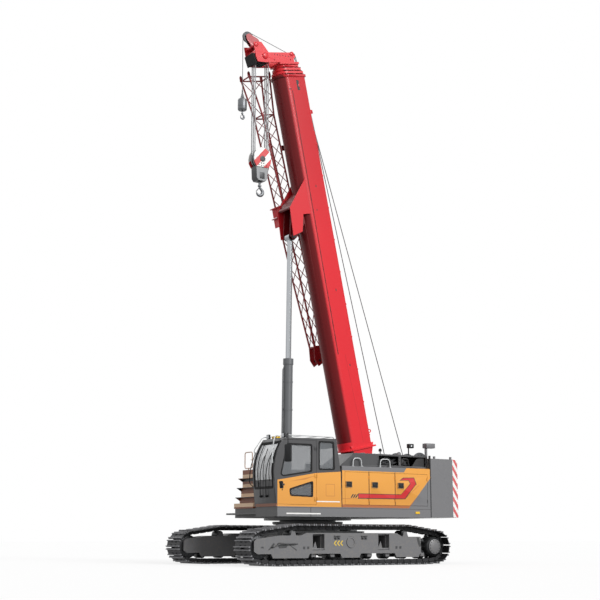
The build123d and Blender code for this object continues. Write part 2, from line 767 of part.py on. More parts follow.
def make_counterweight():
    """Cast weight with chamfered rear corners, a curved back and a notch for the rear winch."""
    edges = []
    corner = ((weight_front, -deck_half), (weight_side_rear, -deck_half), (weight_corner_x, -weight_corner_y))
    for start, end in zip(corner[:-1], corner[1:]):
        edges.append(Line((start[0], start[1], weight_low), (end[0], end[1], weight_low)))
    edges.append(ThreePointArc((weight_corner_x, -weight_corner_y, weight_low), (weight_rear, 0, weight_low),
                               (weight_corner_x, weight_corner_y, weight_low)))
    for start, end in zip(corner[:-1], corner[1:]):
        edges.append(Line((start[0], -start[1], weight_low), (end[0], -end[1], weight_low)))
    edges.append(Line((weight_front, -deck_half, weight_low), (weight_front, deck_half, weight_low)))
    weight = extrude(make_face(edges), weight_high - weight_low, dir=(0, 0, 1))
    weight -= block(weight_front + 5, weight_rear - 5, -weight_notch_half, weight_notch_half,
                    weight_notch_z, weight_high + 5)
    knobs = [post(x, y, 32, weight_high - 5, weight_high + 85)
             for x in (-3180, -3720) for y in (1120, -1120)]
    return merged([weight] + knobs)


def make_winch_frame():
    """Plates on both sides of the two drums, standing on the carriers and the weight."""
    pieces = []
    foot = carrier_top + seat_gap
    main = ((310, None), (310, 0), (130, 140), (-90, 140), (-130, 40), (-130, None))
    rear = ((285, None), (285, -80), (125, 140), (-125, 140), (-255, -40), (-255, None))
    for outline, x, z, seat in ((main, main_drum_x, main_drum_z, foot),
                                (rear, rear_drum_x, rear_drum_z, weight_notch_z + seat_gap)):
        points = [(x + dx, seat if dz is None else z + dz) for dx, dz in outline]
        plate = side_plate(points, winch_half, winch_half + winch_plate)
        pieces += both_sides(plate - cross_bar(x, z, journal_r, winch_half - 5, winch_half + winch_plate + 5))
    return pieces


def make_drum(x, z):
    """Winch drum with its flanges, wound rope and journals."""
    half = drum_length / 2
    journal = winch_half + winch_plate
    neck = journal_r - fit_gap
    points = ((0, -journal), (neck, -journal), (neck, -half), (drum_flange_r, -half),
              (drum_flange_r, drum_flange - half), (drum_r, drum_flange - half),
              (drum_r, half - drum_flange), (drum_flange_r, half - drum_flange), (drum_flange_r, half),
              (neck, half), (neck, journal), (0, journal))
    return Pos(x, 0, z) * turned(points)


# Boom frame: X along the boom from the foot pin, Z towards its back
boom_place = Pos(foot_x, 0, foot_z) * Rot(0, -boom_angle, 0)


def boom_face(inset, grow=0.0):
    """Section of the boom: flat back and sides, round belly, at the boom frame's origin."""
    half = boom_width / 2 - inset + grow
    back = boom_back - inset + grow
    belly = -boom_belly + inset - grow
    corner = boom_corner
    spring = belly + half
    edges = [Line((0, -half, back - corner), (0, -half, spring)),
             ThreePointArc((0, -half, spring), (0, 0, belly), (0, half, spring)),
             Line((0, half, spring), (0, half, back - corner)),
             Line((0, half, back - corner), (0, half - corner, back)),
             Line((0, half - corner, back), (0, corner - half, back)),
             Line((0, corner - half, back), (0, -half, back - corner))]
    return make_face(edges)


def boom_prism(inset, start, end, grow=0.0):
    """Solid of the boom's section along a stretch of the boom."""
    return Pos(start, 0, 0) * extrude(boom_face(inset, grow), end - start, dir=(1, 0, 0))


def boom_point(along, up, y=0.0):
    """World place of a point of the boom frame."""
    lean = radians(boom_angle)
    return (foot_x + along * cos(lean) - up * sin(lean), y, foot_z + along * sin(lean) + up * cos(lean))


def section_span(index):
    """Start and end of a section along the boom, closed."""
    start = boom_start + 60 + index * section_rear_step if index else boom_start
    return start, boom_end + index * section_pitch


def make_section(index):
    """Hollow boom section with its front collar and its wear pads."""
    inset = index * section_step
    start, end = section_span(index)
    tube = boom_prism(inset, start, end)
    tube = merged([tube, boom_prism(inset, end - collar_length, end, collar_height)])
    tube -= boom_prism(inset + boom_wall, start - 5, end + 5)
    if index < section_count - 1:
        # The mouth's lining carries the next section
        mouth = boom_prism(inset + boom_wall - 1, end - pad_length, end)
        mouth -= boom_prism(inset + section_step - fit_gap, end - pad_length - 5, end + 5)
        tube = merged([tube, mouth])
    if index:
        # The tail's pads ride in the section around this one
        tail = boom_prism(inset - section_step + boom_wall + fit_gap, start, start + pad_length)
        tube = merged([tube, tail - boom_prism(inset + 1, start - 5, start + pad_length + 5)])
    return tube


def make_boom_base():
    """Base section with its foot, lift lug, and rope guide."""
    base = make_section(0)
    half = boom_width / 2
    foot = side_plate(((-60, foot_boss_r - 10), (60, foot_boss_r), (boom_start + 120, boom_back + 60),
                       (boom_start + 120, -boom_belly + 150), (60, -foot_boss_r),
                       (-foot_boss_r * 0.65, -foot_boss_r * 0.65), (-foot_boss_r, 0)), half - 90, half)
    boss = cross_bar(0, 0, foot_boss_r, half - 100, tower_inner - seat_gap)
    pieces = [base] + both_sides(foot) + both_sides(boss)
    flange = boom_prism(0, boom_start, boom_start + 40, 40)
    pieces.append(flange - boom_prism(boom_wall, boom_start - 5, boom_start + 45))
    # Wedge plates under the boom and the cheeks that hold the lift cylinder's upper pin
    belly, low = -boom_belly, -lug_below
    wedge = ((lug_along + 1462, belly + 200), (lug_along + 532, belly + 200),
             (lug_along + 532, belly - 40), (lug_along + 82, low + 210), (lug_along - 8, low - 90),
             (lug_along + 742, low - 45))
    wedge_plate = side_plate(wedge, half - 2, half + wedge_plate_thickness)
    cheek = side_plate(((lug_along + 342, belly + 80), (lug_along + 1142, belly + 80),
                        (lug_along + 892, low + 110), (lug_along + 40, low - lug_boss_r),
                        (lug_along - lug_boss_r, low), (lug_along - 40, low + lug_boss_r)),
                       lug_inner, lug_inner + lug_plate)
    web = side_plate(((lug_along + 792, belly + 40), (lug_along + 1142, belly + 40),
                      (lug_along + 882, low + 90), (lug_along + 742, low - 35), (lug_along + 702, low - 10)),
                     -half, half)
    # Saddle before the stowed jib: two plates on an arm of the right wedge plate
    saddle = []
    reach = jib_y - saddle_reach
    for start, end in ((lug_along + 392, lug_along + 632), (lug_along + 662, lug_along + 902)):
        saddle.append(block(start, end, -half - 2, reach, -saddle_below - saddle_plate, -saddle_below))
        saddle.append(block(end - saddle_plate, end, -half - 2, reach,
                            -saddle_below - saddle_plate, -saddle_below - 90))
    saddle.append(block(lug_along + 392, lug_along + 902, -half - wedge_plate_thickness, -half - 2,
                        -saddle_below - saddle_plate, low + 210))
    # The upper pin shows as a stub in each cheek, because the cylinder's linkage is open there
    stub = cross_bar(lug_along, -lug_below, lug_pin_r, lug_inner, lug_inner + lug_plate + 25)
    pieces += both_sides(wedge_plate) + both_sides(cheek) + both_sides(stub) + [web] + saddle
    # Rope guide on the back, with its roller
    for side in (-1, 1):
        pieces.append(side_plate(((guide_along - 90, boom_back - 5), (guide_along + 90, boom_back - 5),
                                  (guide_along + 45, boom_back + guide_height),
                                  (guide_along - 45, boom_back + guide_height)),
                                 side * 70 - 8, side * 70 + 8))
    pieces.append(cross_bar(guide_along, boom_back + guide_height - 45, 30, -75, 75))
    # Ears of the base flange, and a lifting eye on the back's left edge
    pieces.append(block(boom_start, boom_start + 40, -half, half, boom_back, boom_back + 130))
    eye_y = half - boom_corner - 15
    pieces.append(cross_bar(boom_start + 410, boom_back + 46, 50, eye_y - 16, eye_y)
                  - cross_bar(boom_start + 410, boom_back + 46, 28, eye_y - 20, eye_y + 5))
    boom = merged(pieces)
    boom -= cross_bar(0, 0, foot_pin_r + fit_gap, -500, 500)
    # The section stays open where the next one slides
    boom -= boom_prism(boom_wall, boom_start - 5, boom_end - pad_length)
    return boom_place * boom


def make_head():
    """Head plates on the last section, with the shaft of the main sheaves and the rear roller."""
    inset = (section_count - 1) * section_step
    outline = ((head_start, 60), (head_top, 60), (head_top, -head_below + 123),
               (head_nose, -hinge_below + 170), (head_nose, -hinge_below - 70),
               (head_start + 135, -hinge_below - 70),
               (head_start + 25, -hinge_below - 40), (head_start, -head_below - 27))
    plate = side_plate(outline, head_half - head_plate, head_half)
    floor = block(boom_tip + seat_gap, head_start + 10, -head_half, head_half, -boom_belly + inset + 20,
                  boom_back - inset)
    pieces = both_sides(plate) + [floor]
    pieces.append(cross_bar(head_top - 40, 20, 38, -head_half, head_half))
    # Deflection roller of the second rope, behind the head
    roller_x, roller_z = head_top - 25, boom_back - inset + 20
    fork = side_plate(((boom_tip + 50, 0), (head_top - 20, 0), (roller_x + 60, roller_z),
                       (roller_x, roller_z + 60), (roller_x - 70, roller_z)), 34, 46)
    pieces += both_sides(fork)
    pieces.append(block(boom_tip + 20, boom_tip + 90, -46, 46, -20, roller_z - 60))
    pieces.append(cross_bar(roller_x, roller_z, 52, -40, 40))
    pieces.append(cross_bar(hinge_along, -hinge_below, hinge_r, -head_half, head_half))
    pieces.append(cross_bar(head_along, -head_below, sheave_shaft_r, -head_half - 15, head_half + 15))
    head = merged(pieces)
    # Empty bores take the jib's lugs when it is set up
    for below in jib_bore_below:
        head -= cross_bar(jib_bore_along, -below, jib_bore_r, -300, 300)
    return boom_place * head


def make_sheave(radius, bore, thickness):
    """Rope sheave with a groove that holds half the rope."""
    half, bed = thickness / 2, thickness / 4
    return turned(((bore, -half), (radius, -half), (radius - groove_depth, -bed),
                   (radius - groove_depth, bed), (radius, half), (bore, half)))


def fall_rows():
    """Y of each main sheave."""
    return [(index - (main_falls - 1) / 2) * main_fall_pitch for index in range(main_falls)]


def make_main_falls(shaft, block_axis_z):
    """Rope loops over the head's sheaves and under the block's, one round each pair."""
    loops = []
    reach = main_sheave_r - groove_depth + seat_gap
    x, z = shaft
    for y in fall_rows():
        solids = []
        for radius in (reach + main_rope, reach):
            edges = [Line((x - radius, y, z), (x - radius, y, block_axis_z)),
                     ThreePointArc((x - radius, y, block_axis_z), (x, y, block_axis_z - radius),
                                   (x + radius, y, block_axis_z)),
                     Line((x + radius, y, block_axis_z), (x + radius, y, z)),
                     ThreePointArc((x + radius, y, z), (x, y, z + radius), (x - radius, y, z))]
            solids.append(extrude(make_face(edges), main_rope / 4, both=True, dir=(0, 1, 0)))
        loops.append(solids[0] - solids[1])
    return loops


def side_plate_ring(x, y, z, inner, outer, width):
    """Flat ring in the X-Z plane."""
    ring = cross_bar(x, z, outer, y - width / 2, y + width / 2)
    return ring - cross_bar(x, z, inner, y - width, y + width)


def hook_shape(centre, throat, bar_width, shank_r, shank_top):
    """Hook in the X-Z plane: a shank, a round bend open at the front and a pointed tip."""
    x, y, z = centre
    outer = throat + bar_width
    bend = side_plate_ring(x, y, z, throat, outer, bar_width)
    opening = side_plate(((x, z + throat * 0.15), (x + outer * 1.3, z + throat * 0.15),
                          (x + outer * 1.3, z + outer * 1.3), (x + throat * 0.35, z + outer * 1.3)),
                         y - bar_width, y + bar_width)
    shank = post(x, y, shank_r - fit_gap, z + throat + bar_width * 0.3, shank_top)
    return merged([bend - opening, shank])


def make_block(shaft_x):
    """Hook block: cheeks round the sheaves, a lower body and the pin."""
    top = block_z + (main_sheave_r + 55) * cheek_stretch
    wide = main_sheave_r + 55
    rim = [(shaft_x + wide * cos(radians(turn)), block_z + wide * sin(radians(turn)) * cheek_stretch)
           for turn in range(-20, 201, 20)]
    cheek = side_plate([*rim, (shaft_x - 175, block_z - 215), (shaft_x + 175, block_z - 215)],
                       block_half_width - cheek_plate, block_half_width)
    lower = ((shaft_x - 172, block_z - 190), (shaft_x + 172, block_z - 190), (shaft_x + 158, block_z - 500),
             (shaft_x + 110, block_body_bottom), (shaft_x - 110, block_body_bottom),
             (shaft_x - 158, block_z - 500))
    body = side_plate(lower, -block_half_width + cheek_plate - 2, block_half_width - cheek_plate + 2)
    body -= cross_bar(shaft_x, block_z, main_sheave_r + 25, -200, 200)
    guard = block(shaft_x - 60, shaft_x + 60, -block_half_width + 5, block_half_width - 5, top - 60, top - 20)
    pin = cross_bar(shaft_x, block_z, sheave_shaft_r, -block_half_width - 15, block_half_width + 15)
    core = merged(both_sides(cheek) + [body, guard, pin])
    return core - post(shaft_x, 0, hook_shank_r, block_body_bottom - 5, block_body_bottom + 120)


def jib_station(section):
    """Four corners of the jib at a row of its table, in the boom's frame."""
    back, below, depth, width, _ = section
    return [(jib_top_along - back, jib_y + sy * width / 2, -below + sz * depth / 2)
            for sy, sz in ((-1, -1), (1, -1), (1, 1), (-1, 1))]


def between(start, end, share):
    """Row of numbers a share of the way from one row to another."""
    return [a + share * (b - a) for a, b in zip(start, end)]


def make_jib():
    """Lattice jib: four chords that taper to the tip and flare at the top, laced on four faces."""
    rows = [jib_sections[0]]
    for here, there in zip(jib_sections[:-1], jib_sections[1:]):
        rows += [between(here, there, (index + 1) / there[4]) for index in range(there[4])]
    stations = [jib_station(row) for row in rows]
    pieces = []
    for corner in range(4):
        for here, there in zip(jib_sections[:-1], jib_sections[1:]):
            pieces.append(strut(jib_station(here)[corner], jib_station(there)[corner], 2 * jib_chord_r * 0.9))
    for index, (here, there) in enumerate(zip(stations[:-1], stations[1:])):
        for corner in range(4):
            ends = (corner, (corner + 1) % 4)
            first, second = ends if index % 2 == 0 else ends[::-1]
            pieces.append(strut(here[first], there[second], jib_lace))
    for station in (stations[0], stations[-3], stations[-1]):
        for corner in range(4):
            pieces.append(strut(station[corner], station[(corner + 1) % 4], 44))
    # Tip plates with their pin holes
    tip = stations[0]
    low, high = tip[0][2], tip[2][2]
    for y in (tip[0][1], tip[1][1]):
        plate = side_plate(((tip[0][0] + 30, low - 20), (tip[0][0] + 30, high + 20),
                            (jib_tip_along, high - 20), (jib_tip_along - 60, low + 30),
                            (jib_tip_along + 120, low - 60)), y - 9, y + 9)
        holes = [cross_bar(jib_tip_along + 90, (low + high) / 2, 32, y - 30, y + 30),
                 cross_bar(jib_tip_along + 300, (low + high) / 2 + 20, 24, y - 30, y + 30)]
        pieces.append(plate - holes[0] - holes[1])
    # Fork lugs at the top
    top = stations[-1]
    for _, y, z in top:
        lug = side_plate(((top[0][0] - 20, z - 40), (top[0][0] - 20, z + 40), (jib_top_along, z + 35),
                          (jib_top_along + 40, z), (jib_top_along, z - 35)), y - 16, y + 16)
        pieces.append(lug - cross_bar(jib_top_along - 10, z, 20, y - 30, y + 30))
    # Brackets that hold the jib on the boom's right side
    side = -boom_width / 2 - seat_gap
    for back in jib_bracket_back:
        along = jib_top_along - back
        here, there = [(a, b) for a, b in zip(jib_sections[:-1], jib_sections[1:]) if a[0] >= back >= b[0]][0]
        row = between(here, there, (here[0] - back) / (here[0] - there[0]))
        chord_y, chord_z = jib_y + row[3] / 2, row[2] / 2 - row[1]
        pieces.append(block(along - 70, along + 70, side, side - 30, chord_z - 15, -boom_belly / 5))
        pieces.append(block(along - 70, along + 70, side, chord_y, chord_z - 15, chord_z + 15))
    return boom_place * merged(pieces)


crawler_parts = {"track": [make_track()], "rollers": make_rollers() + [make_idler()],
                 "sprocket": [make_sprocket()], "side_frame": [make_side_frame()]}
for name, pieces in crawler_parts.items():
    save(f"{name}_left", *pieces)
    save(f"{name}_right", *[mirror(piece, about=Plane.XZ) for piece in pieces])

save("carbody", make_carbody())
save("slew_ring", post(0, 0, ring_r, ring_bottom + seat_gap, table_bottom - fit_gap)
     - post(0, 0, ring_bore_r, ring_bottom - 5, table_bottom + 5))
save("upper_frame", make_upper_frame())

shell, panes, door, door_panes = make_cab()
save("cab_shell", shell)
save("cab_glass", *panes)
save("cab_door", door)
save("cab_door_glass", *door_panes)

seat_y = (cab_left + cab_right) / 2
seat_half = (cab_left - cab_right) / 2 - console_side - console_gap
cab_inside = cab_floor + cab_wall + seat_gap
seat_base = block(560, 1000, seat_y - seat_half + 40, seat_y + seat_half - 40, cab_inside, seat_z)
save("seat_base", seat_base)
cushion = block(540, 1060, seat_y - seat_half, seat_y + seat_half, seat_z + seat_gap, seat_z + 120)
backrest = Pos(560, seat_y, seat_z + 430) * Rot(0, -10, 0) * Box(110, 2 * seat_half - 20, 640)
save("seat_cushion", merged([cushion, backrest]))
console = merged([block(1420, 1640, cab_right + 125, cab_left - 200, cab_inside, seat_z - 60),
                  block(600, 1440, cab_right + console_side - console_width, cab_right + console_side,
                        cab_inside, seat_z + 180)])
save("cab_console", console)

hood, hood_doors, rails = make_left_hood()
save("left_hood", hood)
for position, hood_door in zip(("front", "middle", "rear"), hood_doors):
    save(f"hood_door_{position}", hood_door)
engine = block(-2300, -900, hood_inner + 140, deck_half - 170, hood_floor + hood_wall + seat_gap, 2250)
save("engine_block", engine)
save("right_housing", make_right_housing())
save("access_steps", make_steps())
save("counterweight", make_counterweight())
save("winch_frame", *make_winch_frame())
save("main_drum", make_drum(main_drum_x, main_drum_z))
save("rear_drum", make_drum(rear_drum_x, rear_drum_z))

save("boom_base", make_boom_base())
for index, name in enumerate(("boom_second", "boom_third", "boom_fourth"), start=1):
    save(name, boom_place * make_section(index))
save("boom_head", make_head())

shaft = boom_point(head_along, -head_below)
sheaves = [boom_place * Pos(head_along, y, -head_below)
           * make_sheave(main_sheave_r, sheave_shaft_r + fit_gap, sheave_thickness) for y in fall_rows()]
save("head_sheaves", *sheaves)

rooster_outline = ((hinge_along - 60, -hinge_below + 30), (hinge_along + 60, -hinge_below + 280),
                   (hinge_along + 210, -hinge_below + 220), (rooster_along + 90, -rooster_below + 25),
                   (rooster_along + 50, -rooster_below - 75), (rooster_along - 70, -rooster_below - 75))
rooster = [side_plate(rooster_outline, side * rooster_half, side * (rooster_half + rooster_plate))
           for side in (-1, 1)]
rooster_face = rooster_half + rooster_plate
rooster_pin = cross_bar(rooster_along, -rooster_below, rooster_pin_r, -rooster_face, rooster_face)
rooster_tie_half = head_half - head_plate - seat_gap
rooster_tie = block(hinge_along - 40, hinge_along + 50, -rooster_tie_half, rooster_tie_half,
                    -hinge_below + 110, -hinge_below + 150)
rooster_hole = cross_bar(hinge_along, -hinge_below, hinge_r + seat_gap, -100, 100)
save("rooster_arm", boom_place * (merged(rooster + [rooster_pin, rooster_tie]) - rooster_hole))
rooster_sheave = make_sheave(rooster_r, rooster_pin_r + fit_gap, 2 * rooster_half - 44)
save("rooster_sheave", boom_place * Pos(rooster_along, 0, -rooster_below) * rooster_sheave)

save("main_falls", *make_main_falls((shaft[0], shaft[2]), block_z))
save("hook_block", make_block(shaft[0]))
save("block_sheaves", *[Pos(shaft[0], y, block_z) * make_sheave(main_sheave_r, sheave_shaft_r + fit_gap,
                                                                sheave_thickness) for y in fall_rows()])
hook = hook_shape((shaft[0], 0, hook_centre_z), hook_throat_r, hook_bar, hook_shank_r,
                  block_body_bottom + 115)
save("main_hook", hook)

rooster_x, _, rooster_z = boom_point(rooster_along, -rooster_below)
rope_x = rooster_x + rooster_r - groove_depth + seat_gap + aux_rope / 2
save("aux_fall", post(rope_x, 0, aux_rope / 2, weight_cone_top, rooster_z))
weight = merged([post(rope_x, 0, weight_r, weight_bottom, weight_top),
                 Pos(rope_x, 0, (weight_top + weight_cone_top) / 2)
                 * Cone(weight_r, 30, weight_cone_top - weight_top)])
weight -= post(rope_x, 0, small_shank_r, weight_bottom - 5, weight_bottom + 60)
save("aux_weight", weight)
save("aux_hook", hook_shape((rope_x, 0, small_hook_z), small_throat_r, small_hook_bar, small_shank_r,
                            weight_bottom + 55))

base_point = (cylinder_x, 0, cylinder_z)
lug_point = boom_point(lug_along, -lug_below)
lift_length = hypot(lug_point[0] - base_point[0], lug_point[2] - base_point[2])
lift_lean = degrees(atan2(lug_point[2] - cylinder_z, lug_point[0] - cylinder_x))
lift_place = Pos(*base_point) * Rot(0, -lift_lean, 0)
along_x = Rot(0, 90, 0)
barrel = merged([Pos((barrel_length + barrel_neck) / 2, 0, 0) * along_x
                 * Cylinder(barrel_r, barrel_length - barrel_neck),
                 Pos(barrel_neck / 2 + 40, 0, 0) * along_x * Cylinder(eye_width / 2 - 6, barrel_neck - 60),
                 Pos(barrel_length - gland_length / 2, 0, 0) * along_x
                 * Cylinder(barrel_collar_r, gland_length),
                 cross_bar(0, 0, 125, -eye_width / 2, eye_width / 2)])
barrel -= cross_bar(0, 0, lug_pin_r + fit_gap, -200, 200)
bore_end = barrel_length - gland_length
barrel -= (Pos((barrel_bottom + bore_end) / 2, 0, 0) * along_x
           * Cylinder(barrel_r - barrel_wall, bore_end - barrel_bottom))
barrel -= Pos(barrel_length, 0, 0) * along_x * Cylinder(rod_r + fit_gap, 2 * gland_length + 10)
save("lift_barrel", lift_place * barrel)
rod_start = bore_end - rod_stay - piston_length
rod_end = lift_length - rod_eye_r / 2
rod = merged([Pos((rod_start + rod_end) / 2, 0, 0) * along_x * Cylinder(rod_r, rod_end - rod_start),
              Pos(rod_start + piston_length / 2, 0, 0) * along_x
              * Cylinder(barrel_r - barrel_wall - fit_gap, piston_length),
              cross_bar(lift_length, 0, rod_eye_r, -rod_eye_width / 2, rod_eye_width / 2)])
rod -= cross_bar(lift_length, 0, lug_pin_r + 10, -200, 200)
save("lift_rod", lift_place * rod)
save("jib", make_jib())

# Rails, mirrors, lamps and the exhaust


def roof_z(x):
    """Height of the cab's roof at a place along the machine."""
    front, rear = screen_top, cab_outline[-2]
    return front[1] + (rear[1] - front[1]) * (front[0] - x) / (front[0] - rear[0])


roof_seat = 0.5     # the roof slopes a little under each foot
lamp_x = 1510
roof_rails = [rail_bow((1480, y, roof_z(1480) + roof_seat), (100, y, roof_z(160) + roof_seat), 3040, 12.0)
              for y in (cab_left - 120, cab_right + 120)]
save("handrails", *rails, *roof_rails)

mirror_x, mirror_y = 1500, cab_left - 60
arm_x, arm_y = door_rear_x + 1128, cab_left + 500
left_mirror = merged([post(mirror_x, mirror_y, 12, roof_z(mirror_x) + roof_seat, 3040),
                      bar((mirror_x, mirror_y, 3028), (arm_x, arm_y, 3028), 11),
                      post(arm_x, arm_y, 12, 2700, 3040),
                      Pos(arm_x, arm_y, 2565) * Rot(0, 0, 30) * Box(40, 180, 400)])
right_x, right_y = housing_front + 15, 90 - deck_half
loop_low, loop_high = steps_top + 50, steps_top + 460
right_mirror = merged([post(right_x, right_y, 14, steps_top + seat_gap, loop_low + 20),
                       block(right_x - 17, right_x + 17, right_y - 200, right_y + 200, loop_low, loop_high)
                       - block(right_x - 20, right_x + 20, right_y - 166, right_y + 166,
                               loop_low + 34, loop_high - 34)])
save("mirrors", left_mirror, right_mirror)

lamps = [block(lamp_x, lamp_x + 50, y - 60, y + 60, roof_z(lamp_x) + roof_seat, 3090)
         for y in (cab_right + 230, cab_left - 230)]
beacon = merged([post(-1390, 1200, 14, hood_top + seat_gap, 2770), post(-1390, 1200, 42, 2760, 2835)])
camera_x, camera_y = -2520, 900
camera = merged([post(camera_x, camera_y, 16, hood_top + seat_gap, 2920),
                 block(camera_x - 140, camera_x + 20, camera_y - 50, camera_y + 50, 2905, 3015)])
save("lamps", *lamps, beacon, camera)
exhaust_x, exhaust_y = -3010, 1000
exhaust = merged([post(exhaust_x, exhaust_y, 38, weight_high + seat_gap, 2930),
                  block(exhaust_x - 240, exhaust_x + 45, exhaust_y - 90, exhaust_y + 90, 2915, 3040)])
save("exhaust", exhaust)
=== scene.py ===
"""Finishes, fittings, ropes, camera and light of a crawler crane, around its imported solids.

Metres. +X is forward, +Y the machine's left (the cab's side), +Z up, and the origin is on the
ground under the slewing axis. Outlines on the machine's side are given as x, z.
"""
from __future__ import annotations

import logging
import math
from dataclasses import dataclass
from enum import Enum
from functools import cache, partialmethod, reduce
from typing import Any, Callable, Iterable, Optional, Sequence, Union

import bmesh
import bpy
from mathutils import Matrix, Vector


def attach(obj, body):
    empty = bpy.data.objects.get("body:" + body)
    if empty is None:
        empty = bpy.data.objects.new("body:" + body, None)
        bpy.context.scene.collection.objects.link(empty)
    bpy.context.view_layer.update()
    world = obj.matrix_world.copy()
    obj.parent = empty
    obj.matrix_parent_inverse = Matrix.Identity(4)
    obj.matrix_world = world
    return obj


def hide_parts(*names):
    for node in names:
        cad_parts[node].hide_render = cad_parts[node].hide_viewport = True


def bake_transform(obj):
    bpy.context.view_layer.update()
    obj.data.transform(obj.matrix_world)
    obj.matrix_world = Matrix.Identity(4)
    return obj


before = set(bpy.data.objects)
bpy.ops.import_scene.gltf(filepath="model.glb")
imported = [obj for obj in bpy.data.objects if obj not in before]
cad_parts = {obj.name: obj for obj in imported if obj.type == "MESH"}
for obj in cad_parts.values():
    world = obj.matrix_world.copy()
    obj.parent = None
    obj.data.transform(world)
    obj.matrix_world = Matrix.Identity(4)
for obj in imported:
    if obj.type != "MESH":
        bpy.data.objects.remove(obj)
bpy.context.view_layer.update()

Point = tuple[float, float, float]
Flat = tuple[float, float]
Place = tuple[Sequence[float], Sequence[float]]     # a point and the way that it faces
Colour = Union[str, Sequence[float], "Wire"]
Value = Union[float, "Wire"]

LOG = logging.getLogger("crane")
TURN = 2 * math.pi
UP = (0, 0, 1)

# The photograph's camera, in the machine's frame
CAMERA_PLACE = (17.154, 26.127, 0.628)
CAMERA_AIM = (-0.5339, -0.8239, 0.1898)
CAMERA_FOCUS = 1232.345     # in pixels of a frame 600 wide
FRAME_WIDTH = 600.0
SENSOR = 36.0

# Places shared with the solids
SIDE = 1.45                 # left face of the upper works
TRACK_Y = 1.695
FRAME_FACE = 1.93
BOOM_FOOT = (-1.62, 0.0, 2.42)
BOOM_ANGLE = math.radians(78.0)
BOOM_PLACE = Matrix.Translation(BOOM_FOOT) @ Matrix.Rotation(-BOOM_ANGLE, 4, "Y")


def tint(code: str, share: float = 1.0) -> Point:
    """Linear colour of a six-digit sRGB code, times a share."""
    parts = [int(code[i:i + 2], 16) / 255 for i in (1, 3, 5)]
    return tuple(share * (p / 12.92 if p <= 0.04045 else ((p + 0.055) / 1.055) ** 2.4) for p in parts)


def on_boom(along: float, y: float, up: float) -> Vector:
    """Place of a point given along the boom from its foot, across, and towards its back."""
    return BOOM_PLACE @ Vector((along, y, up))


def pairs(items: Sequence[Any]) -> Iterable[tuple[Any, Any]]:
    """Each item with the next one, the last with the first."""
    return zip(items, [*items[1:], items[0]])


def square(x0: float, x1: float, z0: float, z1: float) -> list[Flat]:
    """Outline of a rectangle."""
    return [(x0, z0), (x1, z0), (x1, z1), (x0, z1)]


def area(outline: Sequence[Flat]) -> float:
    """Twice the area of an outline, negative where it runs clockwise."""
    return sum(a[0] * b[1] - b[0] * a[1] for a, b in pairs(outline))


class Body(Enum):
    """Bodies of the machine that pieces ride on."""

    CARBODY = "carbody"
    LEFT_CRAWLER = "crawler_left"
    RIGHT_CRAWLER = "crawler_right"
    UPPER = "upper"
    CAB_DOOR = "cab_door"
    FRONT_DOOR = "hood_front_door"
    MIDDLE_DOOR = "hood_middle_door"
    REAR_DOOR = "hood_rear_door"
    MAIN_DRUM = "main_drum"
    REAR_DRUM = "rear_drum"
    LIFT_BARREL = "lift_barrel"
    BOOM = "boom"
    SECOND = "boom_second"
    THIRD = "boom_third"
    TIP = "boom_tip"
    HOOK_BLOCK = "hook_block"
    MAIN_HOOK = "main_hook"
    BALL = "ball_weight"
    SMALL_HOOK = "aux_hook"


class Wire:
    """One output of a shader's node, which takes part in arithmetic."""

    def __init__(self, shader: "Shader", socket: bpy.types.NodeSocket) -> None:
        """Wrap the output."""
        self.shader, self.socket = shader, socket

    def math(self, operation: str, other: Value) -> "Wire":
        """Result of one Math node on this value and another."""
        return self.shader.math(operation, self, other)

    __add__ = __radd__ = partialmethod(math, "ADD")
    __sub__ = partialmethod(math, "SUBTRACT")
    __mul__ = __rmul__ = partialmethod(math, "MULTIPLY")
    least = partialmethod(math, "MINIMUM")
    most = partialmethod(math, "MAXIMUM")
    above = partialmethod(math, "GREATER_THAN")

    def __rsub__(self, other: Value) -> "Wire":
        """Difference the other way round."""
        return self.shader.math("SUBTRACT", other, self)

    def ramp(self, low: float, high: float) -> "Wire":
        """0 at one value, 1 at another, smooth between them."""
        return self.shader.wire("ShaderNodeMapRange", {"Value": self, "From Min": low, "From Max": high},
                                "Result", interpolation_type="SMOOTHSTEP")


def largest(wires: Iterable[Wire]) -> Wire:
    """Largest of some values at each place."""
    return reduce(lambda one, two: one.most(two), wires)


class Tree:
    """Node tree under construction."""

    def __init__(self, tree: bpy.types.NodeTree) -> None:
        """Take the tree that nodes go into."""
        self.tree = tree

    def put(self, socket: bpy.types.NodeSocket, value: Any) -> None:
        """Set a socket, or link it to the wire or socket that feeds it."""
        source = getattr(value, "socket", value)
        if isinstance(source, bpy.types.NodeSocket):
            self.tree.links.new(source, socket)
        else:
            socket.default_value = value

    def node(self, kind: str, values: Optional[dict] = None, **settings: Any) -> bpy.types.Node:
        """Make one node.

        Args:
            kind: The node's type.
            values: Values or sources of its sockets, by name or number.
            settings: Its properties, set before the sockets.

        Returns:
            The node.
        """
        node = self.tree.nodes.new(kind)
        for key, value in settings.items():
            setattr(node, key, value)
        for key, value in (values or {}).items():
            self.put(node.inputs[key], value)
        return node


